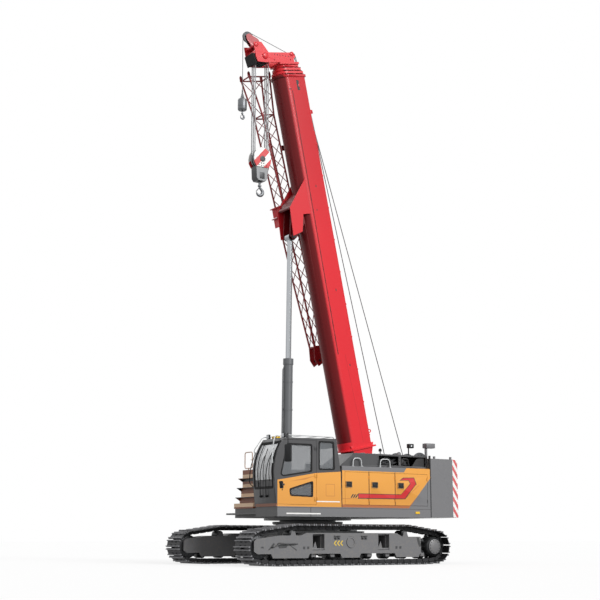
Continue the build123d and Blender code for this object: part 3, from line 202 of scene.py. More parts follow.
class Shader(Tree):
    """Node tree of one material, with the maths and the patterns that the finishes share."""

    def __init__(self, name: str) -> None:
        """Start a material that has only its main shader."""
        self.material = bpy.data.materials.new(name)
        self.material.use_nodes = True
        super().__init__(self.material.node_tree)
        self.main = self.tree.nodes["Principled BSDF"]
        self.place = self.wire("ShaderNodeTexCoord", out="Object")
        split = self.node("ShaderNodeSeparateXYZ", {"Vector": self.place})
        self.x, self.y, self.z = (Wire(self, split.outputs[axis]) for axis in "XYZ")

    def wire(self, kind: str, values: Optional[dict] = None, out: Union[int, str] = 0, **settings: Any) -> Wire:
        """Make one node and take one of its outputs."""
        return Wire(self, self.node(kind, values, **settings).outputs[out])

    def math(self, operation: str, *terms: Value) -> Wire:
        """Result of a Math node."""
        return self.wire("ShaderNodeMath", dict(enumerate(terms)), operation=operation)

    def across(self) -> Wire:
        """Distance from the machine's middle plane."""
        return self.math("ABSOLUTE", self.y)

    def wave(self, phase: Wire) -> Wire:
        """Sine of a value."""
        return self.math("SINE", phase)

    def noise(self, scale: float, detail: float = 2.0, stretch: Optional[Point] = None) -> Wire:
        """Soft noise from 0 to 1, its place scaled along each axis where that is given."""
        place = self.wire("ShaderNodeMapping", {"Vector": self.place, "Scale": stretch}) if stretch else self.place
        return self.wire("ShaderNodeTexNoise", {"Vector": place, "Scale": scale, "Detail": detail})

    def blend(self, share: Value, first: Colour, second: Colour) -> Wire:
        """Mix of two colours."""
        values = {0: share}
        for slot, colour in ((6, first), (7, second)):
            colour = tint(colour) if isinstance(colour, str) else colour
            values[slot] = colour if isinstance(colour, Wire) else (*colour, 1.0)
        return self.wire("ShaderNodeMix", values, 2, data_type="RGBA")

    def inside(self, outline: Sequence[Flat], soft: float = 0.004, on: Optional[tuple[Wire, Wire]] = None) -> Wire:
        """1 inside a convex outline.

        Args:
            outline: Its corners, either way round.
            soft: Width of its edge.
            on: The two measures that it is drawn in, if not x and z.

        Returns:
            The mask.
        """
        u, v = on or (self.x, self.z)
        depths = []
        for (ax, ay), (bx, by) in pairs(list(outline)[::1 if area(outline) > 0 else -1]):
            span = math.hypot(bx - ax, by - ay)
            across, rise = (ay - by) / span, (bx - ax) / span
            depths.append(u * across + v * rise - (ax * across + ay * rise))
        return reduce(lambda one, two: one.least(two), depths).ramp(-soft / 2, soft / 2)

    def line(self, start: Flat, end: Flat, width: float, on: Optional[tuple[Wire, Wire]] = None) -> Wire:
        """1 on a straight line of a width between two points."""
        (ax, az), (bx, bz) = start, end
        half = width / 2 / math.hypot(bx - ax, bz - az)
        dx, dz = (az - bz) * half, (bx - ax) * half
        return self.inside(((ax - dx, az - dz), (bx - dx, bz - dz), (bx + dx, bz + dz), (ax + dx, az + dz)), 0.003, on)

    def bump(self, height: Wire, strength: float, distance: float = 0.002) -> None:
        """Feed a height to the main shader's normal."""
        self.put(self.main.inputs["Normal"], self.wire(
            "ShaderNodeBump", {"Height": height, "Strength": strength, "Distance": distance}))

    def feed(self, colour: Wire, roughness: Value, **others: Value) -> None:
        """Feed the main shader; other sockets' names are written with underscores for spaces."""
        for name, value in {"Base_Color": colour, "Roughness": roughness, **others}.items():
            self.put(self.main.inputs[name.replace("_", " ")], value)


# Colours as they would be written for print
YELLOW, YELLOW_DEEP, YELLOW_BAND = "#E79F3C", "#DC9636", "#AC622C"
CHARCOAL, GREY, GREY_DARK, INK, WHITE = "#38383A", "#6F6F71", "#69696B", "#1E1E20", "#F2F1EE"
RED, RED_DIM, PAINTED_BELLY_SHADE, RED_SEAM, STRIPE = "#DE2630", "#C4202A", "#6E0C12", "#4A0A10", "#CC1D22"
BROWN, BROWN_LIT, SIGNAL = "#7E4729", "#EBCBAA", "#E8C21A"
GRIME, DUST = "#1B1B1C", "#8D8474"

# Edge between the cab's dark upper part and its yellow lower part
CAB_BELT = ((1.853, 1.961), (0.702, 2.156), (-0.05, 2.212))
CAB_NOSE_X = 1.79


def cab_livery(s: Shader, ground: Wire) -> Wire:
    """Yellow below the belt line with a band of painted shade under its crease, charcoal above it and on the nose."""
    body = s.blend(s.z.ramp(1.35, 2.2), YELLOW_DEEP, YELLOW)
    # Painted shade: a darker band just under the crease of the belt line
    shade_under_crease = ((1.60, 1.80), (1.43, 1.945), (0.80, 2.075), (0.10, 2.135), (0.10, 2.10), (0.80, 2.02), (1.30, 1.90))
    body = s.blend(s.inside(shade_under_crease, 0.03) * 0.65, body, YELLOW_BAND)
    body = s.blend(s.inside(square(0.02, 0.69, 1.475, 1.50)), body, WHITE)
    flap = sum(s.line(start, end, 0.012) for start, end in pairs(square(0.17, 0.42, 1.62, 1.90)))
    body = s.blend(flap * 0.6, body, YELLOW_BAND)
    rises = []
    for (ax, az), (bx, bz) in zip(CAB_BELT[:-1], CAB_BELT[1:]):
        slope = (bz - az) / (bx - ax)
        rises.append(s.z - (s.x * slope + (az - ax * slope)))
    nose = s.x.above(CAB_NOSE_X)
    body = s.blend(largest(rises).above(0.0).most(nose), body, CHARCOAL)
    corner = s.y.above(1.375) * (1.0 - s.y.above(1.4485)) * (s.x + (s.z - 2.58) * 0.4).above(1.62)
    body = s.blend(corner, body, INK)
    body = s.blend(s.y.above(1.4525) * s.x.above(1.50), body, INK)
    return s.blend((1.0 - s.z.above(1.43)) * nose * s.y.above(0.52), body, BROWN)


# The hood's angled stripe: its black rim, then its red inside
STRIPE_PARTS = (
    (INK, (((-0.52, 1.575), (-0.52, 1.70), (-1.66, 1.70), (-1.66, 1.575)),
           ((-1.64, 1.575), (-1.64, 1.70), (-1.85, 1.70), (-1.975, 1.585)),
           ((-1.825, 1.69), (-1.965, 1.585), (-2.335, 1.975), (-2.135, 1.98)),
           ((-2.135, 1.95), (-2.335, 1.95), (-2.255, 2.125), (-2.065, 2.05)),
           ((-2.255, 2.125), (-1.91, 2.115), (-1.79, 2.04), (-2.09, 2.045)))),
    (STRIPE, (((-0.535, 1.59), (-0.535, 1.685), (-1.66, 1.688), (-1.66, 1.597)),
              ((-1.64, 1.597), (-1.64, 1.688), (-1.842, 1.689), (-1.958, 1.60)),
              ((-1.83, 1.688), (-1.955, 1.602), (-2.31, 1.97), (-2.155, 1.975)),
              ((-2.150, 1.96), (-2.31, 1.96), (-2.240, 2.110), (-2.08, 2.055)),
              ((-2.240, 2.110), (-1.93, 2.10), (-1.829, 2.052), (-2.10, 2.057)))),
    (INK, tuple(((-0.355 - back, 1.676), (-0.395 - back, 1.676), (-0.335 - back, 1.591), (-0.295 - back, 1.591))
                for back in (0.0, 0.066, 0.132))))


def hood_livery(s: Shader, ground: Wire) -> Wire:
    """Yellow side with its band, painted shade along its crease, angled stripe and cut rear corner, grey everywhere
    else, and painted shade on the recessed upper wall.
    """
    body = s.blend(s.z.ramp(1.40, 2.25), YELLOW_DEEP, YELLOW)
    # Painted shade: a darker line along the crease
    crease = s.line((0.0, 1.566), (-1.95, 1.583), 0.012).most(s.line((-1.95, 1.583), (-2.40, 1.93), 0.012))
    body = s.blend(crease * 0.7, body, YELLOW_BAND)
    for split in (-0.853, -1.653):
        body = s.blend(s.line((split, 1.36), (split, 2.36), 0.012), body, INK)
    body = s.blend(1.0 - s.z.ramp(1.424, 1.434), body, YELLOW_BAND)
    body = s.blend(s.line((-2.13, 1.40), (-2.80, 2.02), 0.075), body, YELLOW_BAND)
    for colour, outlines in STRIPE_PARTS:
        for outline in outlines:
            body = s.blend(s.inside(outline), body, colour)
    notch = s.inside(((-1.90, 2.243), (-1.935, 2.243), (-2.02, 2.36), (-1.90, 2.36)))
    corner = (s.z * 0.676 + s.x * 0.737 + 0.61).above(0.0)
    grey = largest((s.z.above(2.243) * s.x.above(-1.93), notch, s.z.above(2.354), 1.0 - corner,
                    1.0 - s.y.above(1.30)))
    body = s.blend(grey, body, ground)
    # Painted shade: charcoal on the recessed upper wall behind the ledge
    wall = s.z.above(2.358) * (1.0 - s.z.above(2.684)) * (1.0 - s.y.above(1.36))
    return s.blend(wall, body, CHARCOAL)


def boom_lines(s: Shader, ground: Wire) -> Wire:
    """Long weld seam on the boom's sides, and painted shade: a deeper red on its belly, which faces down and forward.
    """
    lean, rise = math.cos(BOOM_ANGLE), math.sin(BOOM_ANGLE)
    dx, dz = s.x - BOOM_FOOT[0], s.z - BOOM_FOOT[2]
    along, up = dx * lean + dz * rise, dz * lean - dx * rise
    seam = s.line((2.971, -0.245), (9.990, -0.195), 0.027, (along, up))
    dashes = s.wave(along * 17.0).ramp(-0.2, 0.2) * 0.15 + 0.8
    lower = s.line((0.65, 0.05), (2.95, -0.03), 0.008, (along, up)) * 0.45
    # Painted shade: the round belly, facing down, is darkened with a deeper red
    belly = (1.0 - s.across().ramp(0.265, 0.289)) * (1.0 - up.ramp(-0.34, -0.20))
    body = s.blend(along.ramp(5.0, 9.5) * 0.8, ground, RED_DIM)
    body = s.blend(belly * along.above(0.7), body, PAINTED_BELLY_SHADE)
    return s.blend((seam * dashes).most(lower) * s.across().above(0.285), body, RED_SEAM)


def weight_stripes(s: Shader, ground: Wire) -> Wire:
    """Red and white slanting stripes, 0.262 to a pair, on the weight's chamfered corners."""
    corner = (1.0 - s.x.above(-3.52)) * s.across().above(1.17)
    stripe = s.wave((s.z - s.x * 0.62 - 0.085) * (TURN / 0.262)).ramp(-0.05, 0.05)
    return s.blend(corner, ground, s.blend(stripe, WHITE, STRIPE))


def sill_marks(s: Shader, ground: Wire) -> Wire:
    """Seams and the white strip of the left sill; darker below and inside the deck."""
    outside = s.across().above(1.449)
    seam = s.line((0.858, 1.12), (0.858, 1.37), 0.02).most(s.line((-2.77, 1.338), (1.80, 1.338), 0.010))
    body = s.blend(seam * outside * 0.8, ground, INK)
    body = s.blend(s.inside(square(0.575, 1.54, 1.185, 1.215)) * s.y.above(1.449), body, WHITE)
    return s.blend(s.x.above(1.2) * (1.0 - s.z.above(1.362)) * (1.0 - outside) * 0.75, body, INK)


def frame_marks(s: Shader, ground: Wire) -> Wire:
    """Three yellow chevrons on each side frame."""
    marks = largest(s.line((tip, 0.515), (tip - 0.062, 0.515 + end), 0.022)
                    for tip in (0.52, 0.43, 0.34) for end in (0.058, -0.058))
    return s.blend(marks * s.across().above(1.925), ground, SIGNAL)


def block_stripes(s: Shader, ground: Wire) -> Wire:
    """Red and white stripes on the hook block's cheeks, grey below them."""
    stripe = s.wave((s.x * 0.75 + s.z * 0.66) * (TURN / 0.30)).ramp(-0.06, 0.06)
    body = s.blend(s.z.ramp(9.955, 9.965), ground, s.blend(stripe, WHITE, STRIPE))
    return s.blend(1.0 - s.across().above(0.1245), body, INK)


def step_light_and_shade(s: Shader, ground: Wire) -> Wire:
    """Pale painted light on the upper half of each riser and on the base's top edge, the brown paint left in shadow
    under the treads, black gussets at the treads' tips.
    """
    rise = s.math("FRACT", (s.z - 1.640) * (1 / 0.2410))
    # Painted light: the lit upper part of each riser and the lit top edge of the base
    pale = (1.0 - rise.above(0.42)) * s.z.above(1.40)
    body = s.blend(pale.most((1.0 - s.z.above(1.455)) * s.z.above(1.425)) * 0.95, ground, BROWN_LIT)
    for tip, level in ((1.355, 1.646), (1.235, 1.885), (1.144, 2.128)):
        gusset = ((tip + 0.03, level + 0.006), (tip - 0.15, level + 0.006), (tip - 0.15, level - 0.11))
        body = s.blend(s.inside(gusset, 0.006), body, INK)
    return body


@dataclass(frozen=True)
class Finish:
    """Look of pieces, made into a material once."""

    name: str
    ground: str

    @cache
    def material(self) -> bpy.types.Material:
        """The finish's material."""
        shader = Shader(self.name)
        self.draw(shader)
        return shader.material

    def draw(self, s: Shader) -> None:
        """Draw the finish on its shader."""
        raise NotImplementedError


@dataclass(frozen=True)
class Paint(Finish):
    """Sprayed metal: mottled ground colour, orange peel, uneven gloss and a little dust below."""

    roughness: float = 0.42
    coat: float = 0.12
    dust: float = 0.10
    shine: float = 0.5
    pattern: Optional[Callable[[Shader, Wire], Wire]] = None

    def draw(self, s: Shader) -> None:
        """Ground, pattern, mottle and dust."""
        ground = s.blend(0.0, self.ground, self.ground)
        colour = self.pattern(s, ground) if self.pattern else ground
        colour = s.blend((s.noise(1.7, 3.0) - 0.5) * 0.05 + 0.025, colour, GRIME)
        specks = s.noise(23.0, 4.0).ramp(0.45, 0.75)
        colour = s.blend((1.0 - s.z.ramp(0.0, 2.4)) * specks * self.dust, colour, DUST)
        s.feed(colour, (s.noise(7.0, 3.0) - 0.5) * 0.16 + self.roughness, Coat_Weight=self.coat,
               Coat_Roughness=0.12, Specular_IOR_Level=self.shine)
        s.bump(s.noise(260.0, 1.0), 0.05, 0.001)


@dataclass(frozen=True)
class Steel(Finish):
    """Bare or greased metal with brushed grain, darker along its streaks."""

    roughness: float = 0.42
    metallic: float = 0.85
    grain: Point = (30.0, 30.0, 30.0)
    strength: float = 0.12

    def draw(self, s: Shader) -> None:
        """Grain in colour, gloss and height."""
        streak = s.noise(6.0, 3.0, self.grain)
        s.feed(s.blend(streak * 0.5, self.ground, tint(self.ground, 0.45)), (streak - 0.5) * 0.25 + self.roughness,
               Metallic=self.metallic)
        s.bump(streak, self.strength)


@dataclass(frozen=True)
class Rope(Finish):
    """Wire rope: strands laid at a slant round a line along Z."""

    def draw(self, s: Shader) -> None:
        """Strands in colour and height."""
        strand = s.wave(s.z * (26.0 * TURN) + (s.x + s.y) * 420.0) * 0.5 + 0.5
        s.feed(s.blend(strand, tint(self.ground, 0.4), self.ground), (s.noise(90.0) - 0.5) * 0.2 + 0.5, Metallic=0.6)
        s.bump(strand, 0.5, 0.004)


@dataclass(frozen=True)
class Pane(Finish):
    """Tinted glass with faint streaks of dust, and a painted reflection on the windscreen that makes it paler and less
    clear.
    """

    # Pale colour of the painted reflection on the windscreen
    front: str
    see_through: float = 0.62

    def draw(self, s: Shader) -> None:
        """Streaks, and the painted reflection on the windscreen."""
        cloud = s.noise(2.2, 3.0, (1.0, 1.0, 0.35))
        # Painted reflection: the windscreen is pale and less clear
        reflection_mask = (s.x + (s.z - 2.58) * 0.3).above(1.68) * (1.0 - s.y.above(1.385))
        pane = s.blend(cloud * 0.5, self.ground, tint(self.ground, 1.5))
        s.feed(s.blend(reflection_mask, pane, self.front), cloud * 0.05 + 0.03,
               Alpha=reflection_mask * 0.46 + (1.0 - self.see_through), Specular_IOR_Level=0.8)


@dataclass(frozen=True)
class Moulded(Finish):
    """Moulded plastic or rubber with a fine leathery grain."""

    roughness: float = 0.55
    grain: float = 140.0

    def draw(self, s: Shader) -> None:
        """Pebbled grain and uneven shade."""
        pebble = s.wire("ShaderNodeTexVoronoi", {"Vector": s.place, "Scale": self.grain}, "Distance",
                        feature="DISTANCE_TO_EDGE")
        shade = s.noise(3.0, 3.0)
        s.feed(s.blend(shade * 0.3, self.ground, tint(self.ground, 0.5)), (shade - 0.5) * 0.15 + self.roughness,
               Specular_IOR_Level=0.25)
        s.bump(pebble.ramp(0.0, 0.25), 0.25, 0.001)


@dataclass(frozen=True)
class Weave(Finish):
    """Woven seat cloth with a nap and darker channels."""

    def draw(self, s: Shader) -> None:
        """Threads both ways."""
        cloth = s.wave((s.x + s.z) * 520.0) * s.wave(s.y * 520.0) * 0.5 + 0.5
        s.feed(s.blend(cloth * 0.6, tint(self.ground, 0.5), self.ground), (s.noise(9.0, 3.0) - 0.5) * 0.1 + 0.85,
               Sheen_Weight=0.25)
        s.bump(cloth, 0.3, 0.001)


@dataclass(frozen=True)
class Glow(Finish):
    """Coloured lens with moulded ribs."""

    def draw(self, s: Shader) -> None:
        """Ribs in colour, gloss and height."""
        ribs = s.wave((s.x + s.z) * 300.0) * 0.5 + 0.5
        s.feed(s.blend(ribs * 0.35, self.ground, tint(self.ground, 0.6)), ribs * 0.1 + 0.12)
        s.bump(ribs, 0.3)


class Palette:
    """Every finish of the machine."""

    cab = Paint("cab_paint", YELLOW, pattern=cab_livery)
    hood = Paint("hood_paint", GREY, pattern=hood_livery)
    sill = Paint("sill_paint", GREY, pattern=sill_marks)
    side_frame = Paint("side_frame_paint", GREY_DARK, 0.45, dust=0.25, pattern=frame_marks)
    grey = Paint("grey_paint", GREY)
    dark = Paint("dark_paint", "#2C2D2F", 0.5, 0.1)
    charcoal = Paint("charcoal_paint", CHARCOAL)
    weight = Paint("weight_paint", GREY, pattern=weight_stripes)
    boom = Paint("boom_paint", RED, 0.36, 0.05, 0.0, 0.22, boom_lines)
    red = Paint("red_paint", RED, 0.38, 0.05, 0.0, 0.3)
    red_dim = Paint("dim_red_paint", "#A81B25", 0.4, 0.1, 0.0)
    red_deep = Paint("deep_red_paint", "#8E1119", 0.42, 0.1, 0.0)
    block = Paint("block_paint", "#8A8C8E", dust=0.0, pattern=block_stripes)
    steps = Paint("step_paint", BROWN, 0.5, 0.1, pattern=step_light_and_shade)
    pale_rail = Paint("pale_rail_paint", "#C9CBCC", 0.3)
    tan_rail = Paint("tan_rail_paint", "#C9A58C", 0.35)
    band = Paint("band_paint", "#B98A4A")
    ink = Paint("black_paint", "#18181A", 0.6, 0.0)
    cylinder = Paint("cylinder_paint", "#5D5F62", 0.4)
    track = Steel("track_steel", "#77777A", 0.48, 0.35, (9.0, 9.0, 9.0))
    link = Steel("link_steel", "#303032", 0.5, 0.6)
    cast = Steel("cast_steel", "#3A3B3D", 0.45, 0.5)
    hook = Steel("hook_steel", "#6D6F72", 0.38, 0.7)
    chrome = Steel("rod_chrome", "#A4A7AA", 0.14, 1.0, (40.0, 40.0, 1.5), 0.02)
    mirror = Steel("mirror_glass", "#DDE2E6", 0.05, 1.0, strength=0.0)
    rope = Rope("wire_rope", "#6E6E70")
    pale_rope = Rope("pale_wire_rope", "#A6A7A9")
    # The second colour is the windscreen's painted reflection
    glass = Pane("window_glass", "#7C8084", "#F4F6F8")
    plastic = Moulded("black_plastic", "#1D1E20")
    rubber = Moulded("black_rubber", "#151516", 0.7, 90.0)
    hose = Moulded("hose_rubber", "#2E2F31", 0.5, 200.0)
    cloth = Weave("seat_cloth", "#3A3B40")
    amber = Glow("amber_lens", "#F0C020")
    lens = Glow("clear_lens", "#E8ECEF")


def corner(before: Vector, here: Vector, after: Vector, radius: float, steps: int) -> list[Vector]:
    """Points that round a corner between two others."""
    back, on = before - here, after - here
    cut = min(radius, back.length * 0.45, on.length * 0.45)
    start, end = here + back.normalized() * cut, here + on.normalized() * cut
    return [start.lerp(here, i / steps).lerp(here.lerp(end, i / steps), i / steps) for i in range(steps + 1)]


def rounded(outline: Sequence[Flat], radius: float) -> list[Flat]:
    """Closed outline with its corners rounded."""
    points = [Vector(p) for p in outline]
    return [tuple(spot) for i, here in enumerate(points)
            for spot in corner(points[i - 1], here, points[(i + 1) % len(points)], radius, 4)]


def moved(outline: Sequence[Flat], inwards: float) -> list[Flat]:
    """Outline moved inwards by a distance, or outwards by a negative one."""
    turn = math.copysign(1.0, area(outline))
    points = [Vector(p) for p in outline]
    result = []
    for i, here in enumerate(points):
        ways = (here - points[i - 1]).normalized(), (points[(i + 1) % len(points)] - here).normalized()
        one, two = (Vector((-way.y, way.x)) * turn for way in ways)
        mean = (one + two).normalized()
        result.append(tuple(here + mean * (inwards / max(mean.dot(one), 0.3))))
    return result


def swing(centre: Flat, y: float, radius: float, start: float, sweep: float, parts: int) -> list[Point]:
    """Points on an arc in an upright plane along X, from an angle through a sweep."""
    return [(centre[0] + radius * math.cos(start + sweep * i / parts), y,
             centre[1] + radius * math.sin(start + sweep * i / parts)) for i in range(parts + 1)]


def arc(start: Flat, middle: Flat, end: Flat, parts: int = 10) -> list[Flat]:
    """Points at equal angles on the arc through three points."""
    (ax, az), (bx, bz), (cx, cz) = start, middle, end
    turn = 2 * (ax * (bz - cz) + bx * (cz - az) + cx * (az - bz))
    one, two, three = (p[0] ** 2 + p[1] ** 2 for p in (start, middle, end))
    ox = (one * (bz - cz) + two * (cz - az) + three * (az - bz)) / turn
    oz = (one * (cx - bx) + two * (ax - cx) + three * (bx - ax)) / turn
    first, last = math.atan2(az - oz, ax - ox), math.atan2(cz - oz, cx - ox)
    return [(x, z) for x, _, z in swing((ox, oz), 0.0, math.hypot(ax - ox, az - oz), first, last - first, parts)]


def sagged(start: Point, end: Point, drop: float) -> list[Vector]:
    """Points of a hose between two places, hanging by a drop in its middle."""
    return [Vector(start).lerp(Vector(end), i / 12) - Vector((0, 0, 4 * drop * (i / 12) * (1 - i / 12)))
            for i in range(13)]


def circle(centre: Sequence[float], axis: Sequence[float], radius: float, count: int,
           side: Optional[Vector] = None) -> list[Vector]:
    """Points at equal angles round an axis, from a side where that is given."""
    along = Vector(axis).normalized()
    side = along.orthogonal().normalized() if side is None else side
    other = along.cross(side)
    return [Vector(centre) + (side * math.cos(TURN * i / count) + other * math.sin(TURN * i / count)) * radius
            for i in range(count)]


def ring_of(centre: Sequence[float], facing: Sequence[float], radius: float, count: int) -> list[Place]:
    """Places at equal angles round a circle, all facing along its axis."""
    return [(spot, facing) for spot in circle(centre, facing, radius, count)]


def stack(rings: int, sides: int) -> list[tuple[int, ...]]:
    """Faces that join rings of corners and close the first and the last."""
    count = rings * sides
    faces = [tuple(range(sides)), tuple(range(count - sides, count))]
    for low in range(0, count - sides, sides):
        for i in range(sides):
            j = (i + 1) % sides
            faces.append((low + i, low + j, low + sides + j, low + sides + i))
    return faces


class Form:
    """Mesh of one piece while it is put together."""

    def __init__(self, place: Matrix = Matrix()) -> None:
        """Start an empty mesh whose added shapes are set by a placing matrix."""
        self.mesh, self.place, self.finish_index = bmesh.new(), place, 0

    def add(self, points: Sequence[Sequence[float]], faces: Sequence[Sequence[int]], bevel: float = 0.0,
            smooth: bool = False) -> None:
        """Add one closed shape.

        Args:
            points: Its corners before the form's placing.
            faces: Corner numbers of each face.
            bevel: Width of the bevel on its sharp edges.
            smooth: Whether its faces shade smoothly.
        """
        made = [self.mesh.verts.new(self.place @ Vector(p)) for p in points]
        sides = [self.mesh.faces.new([made[n] for n in numbers]) for numbers in faces]
        bmesh.ops.recalc_face_normals(self.mesh, faces=sides)
        for side in sides:
            side.material_index, side.smooth = self.finish_index, smooth
        if bevel:
            edges = list({edge for side in sides for edge in side.edges
                          if len(edge.link_faces) == 2 and edge.calc_face_angle(0.0) > 0.5})
            for side in bmesh.ops.bevel(self.mesh, geom=edges, offset=bevel, segments=2, affect="EDGES",
                                        profile=0.6)["faces"]:
                side.material_index = self.finish_index

    def box(self, low: Point, high: Point, bevel: float = 0.004) -> None:
        """Box between two opposite corners."""
        self.add([(x, y, z) for x in (low[0], high[0]) for y in (low[1], high[1]) for z in (low[2], high[2])],
                 ((0, 1, 3, 2), (4, 6, 7, 5), (0, 4, 5, 1), (2, 3, 7, 6), (0, 2, 6, 4), (1, 5, 7, 3)), bevel)

    def plate(self, outline: Sequence[Flat], y0: float, y1: float, bevel: float = 0.0) -> None:
        """Plate between two Y planes of an outline in X and Z."""
        self.add([(x, y, z) for y in (y0, y1) for x, z in outline], stack(2, len(outline)), bevel)

    def frame_ring(self, outer: Sequence[Flat], inner: Sequence[Flat], y0: float, y1: float) -> None:
        """Flat frame between two outlines of as many corners, between two Y planes."""
        count = len(outer)
        points = [(x, y, z) for y in (y0, y1) for ring in (outer, inner) for x, z in ring]
        self.add(points, [(one * count + i, one * count + (i + 1) % count, two * count + (i + 1) % count,
                           two * count + i) for i in range(count) for one, two in ((0, 1), (1, 3), (3, 2), (2, 0))])

    def tube(self, path: Sequence[Sequence[float]], radius: Union[float, Sequence[float]], sides: int = 12) -> None:
        """Round bar along a path, of one radius or one at each point, closed at both ends."""
        line = [Vector(p) for p in path]
        side = (line[1] - line[0]).normalized().orthogonal().normalized()
        points: list[Vector] = []
        for i, here in enumerate(line):
            turned = (line[min(i + 1, len(line) - 1)] - line[max(i - 1, 0)]).normalized()
            side = (side - turned * side.dot(turned)).normalized()
            points += circle(here, turned, radius[i] if isinstance(radius, (list, tuple)) else radius, sides, side)
        self.add(points, stack(len(line), sides), smooth=True)

    def bar(self, points: Sequence[Point], bend: float, radius: float, sides: int = 10) -> None:
        """Round bar through some points, bent at each inner one."""
        line = [Vector(p) for p in points]
        bends = [corner(*three, bend, 5) for three in zip(line, line[1:], line[2:])]
        self.tube([line[0], *sum(bends, []), line[-1]], radius, sides)

    def lathe(self, centre: Sequence[float], axis: Sequence[float], profile: Sequence[Flat], sides: int) -> None:
        """Solid of revolution.

        Args:
            centre: Point of its axis where the profile's distances start.
            axis: Its direction.
            profile: Distance along the axis and radius of each ring, ends closed.
            sides: Faces round it.
        """
        along = Vector(axis).normalized()
        points = [spot for away, radius in profile
                  for spot in circle(Vector(centre) + along * away, axis, max(radius, 1e-4), sides)]
        self.add(points, stack(len(profile), sides), smooth=True)

    def baked(self, name: str) -> bpy.types.Mesh:
        """The form as a mesh of the file."""
        mesh = bpy.data.meshes.new(name)
        self.mesh.to_mesh(mesh)
        self.mesh.free()
        return mesh

    def done(self, name: str, finishes: Union[Finish, Sequence[Finish]], body: Optional[Body], slot: str,
             *nodes: str) -> bpy.types.Object:
        """Turn the form into a piece of the machine, as settle does."""
        return settle(name, self.baked(name), finishes, body, slot, nodes)


def settle(name: str, mesh: bpy.types.Mesh, finishes: Union[Finish, Sequence[Finish]], body: Optional[Body],
           slot: str, nodes: Sequence[str] = (), angle: float = 35.0) -> bpy.types.Object:
    """Make a mesh a piece of the machine.

    Args:
        name: The piece's name.
        mesh: Its mesh.
        finishes: Its finish, or one for each index used.
        body: Body that it rides on, or None where it will bend between two.
        slot: Name of a slot for its finish; not used.
        nodes: Solids that it stands for.
        angle: Angle in degrees under which faces shade as one.

    Returns:
        The piece.
    """
    for finish in [finishes] if isinstance(finishes, Finish) else finishes:
        mesh.materials.append(finish.material())
    mesh.shade_smooth()
    mesh.set_sharp_from_angle(angle=math.radians(angle))
    piece = linked(name, mesh)
    if body is not None:
        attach(piece, body.value)
    if nodes:
        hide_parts(*nodes)
    LOG.info("%s: %d faces on %s", name, len(mesh.polygons), body.value if body else "two bodies")
    return piece


def smoothed(node: str, finish: Finish, body: Body, slot: str, bevel: float) -> None:
    """Dress a solid in a copy of it with smooth round faces, and edges softened by a bevel's width or not."""
    form = bmesh.new()
    form.from_mesh(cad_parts[node].data)
    bmesh.ops.remove_doubles(form, verts=form.verts, dist=1e-5)
    if bevel:
        bmesh.ops.dissolve_limit(form, angle_limit=math.radians(1.0), verts=form.verts, edges=form.edges)
    name = f"{node}_dressed"
    mesh = bpy.data.meshes.new(name)
    form.to_mesh(mesh)
    form.free()
    piece = settle(name, mesh, finish, body, slot, (node,), 30.0)
    if bevel:
        edge = piece.modifiers.new("edge", "BEVEL")
        edge.width, edge.segments, edge.limit_method = bevel, 2, "ANGLE"
        edge.angle_limit = math.radians(40.0)
        edge.use_clamp_overlap = edge.harden_normals = True
    else:
        shade = piece.modifiers.new("shade", "WEIGHTED_NORMAL")
        shade.mode, shade.weight, shade.keep_sharp = "FACE_AREA", 100, True


def linked(name: str, data: Any) -> bpy.types.Object:
    """Object of some data, linked to the scene."""
    thing = bpy.data.objects.new(name, data)
    bpy.context.scene.collection.objects.link(thing)
    return thing


def evaluated(thing: bpy.types.Object) -> bpy.types.Mesh:
    """Mesh that an object's modifiers make of it, with no material slots; the object goes."""
    mesh = bpy.data.meshes.new_from_object(thing.evaluated_get(bpy.context.evaluated_depsgraph_get()))
    mesh.materials.clear()
    bpy.data.objects.remove(thing)
    return mesh


def repeated(piece: Form, carrier: Any, count: int = 0) -> bpy.types.Mesh:
    """Repeat a piece by a Geometry Nodes tree.

    Args:
        piece: Form with X along the path and Z outwards, or with Z along each place's facing.
        carrier: Closed curve in an upright plane along X, or points with their facings.
        count: How many at equal pitch on the curve.

    Returns:
        The repeated pieces as one mesh.
    """
    group = bpy.data.node_groups.new("repeats", "GeometryNodeTree")
    for way, label, kind in (("OUTPUT", "Geometry", "Geometry"), ("INPUT", "Geometry", "Geometry"),
                             ("INPUT", "Piece", "Object"), ("INPUT", "Count", "Int")):
        group.interface.new_socket(label, in_out=way, socket_type=f"NodeSocket{kind}")
    tree = Tree(group)
    given = tree.node("NodeGroupInput").outputs
    if count:
        points = tree.node("GeometryNodeResampleCurve", {"Curve": given[0], "Count": given["Count"]}).outputs[0]
        facing, turning = tree.node("GeometryNodeInputTangent"), {"axis": "X", "pivot_axis": "Y"}
    else:
        points = given[0]
        facing = tree.node("GeometryNodeInputNamedAttribute", {"Name": "facing"}, data_type="FLOAT_VECTOR")
        turning = {"axis": "Z"}
    turn = tree.node("FunctionNodeAlignRotationToVector", {"Vector": facing.outputs[0]}, **turning)
    source = tree.node("GeometryNodeObjectInfo", {"Object": given["Piece"]})
    row = tree.node("GeometryNodeInstanceOnPoints", {"Points": points, "Instance": source.outputs["Geometry"],
                                                     "Rotation": turn.outputs[0]})
    real = tree.node("GeometryNodeRealizeInstances", {"Geometry": row.outputs[0]})
    tree.node("NodeGroupOutput", {0: real.outputs[0]})
    original, thing = linked("piece", piece.baked("piece")), linked("carrier", carrier)
    growth = thing.modifiers.new("growth", "NODES")
    growth.node_group = group
    values = {"Piece": original, "Count": count}
    for item in group.interface.items_tree:
        if item.name in values:
            growth[item.identifier] = values[item.name]
    mesh = evaluated(thing)
    bpy.data.objects.remove(original)
    return mesh


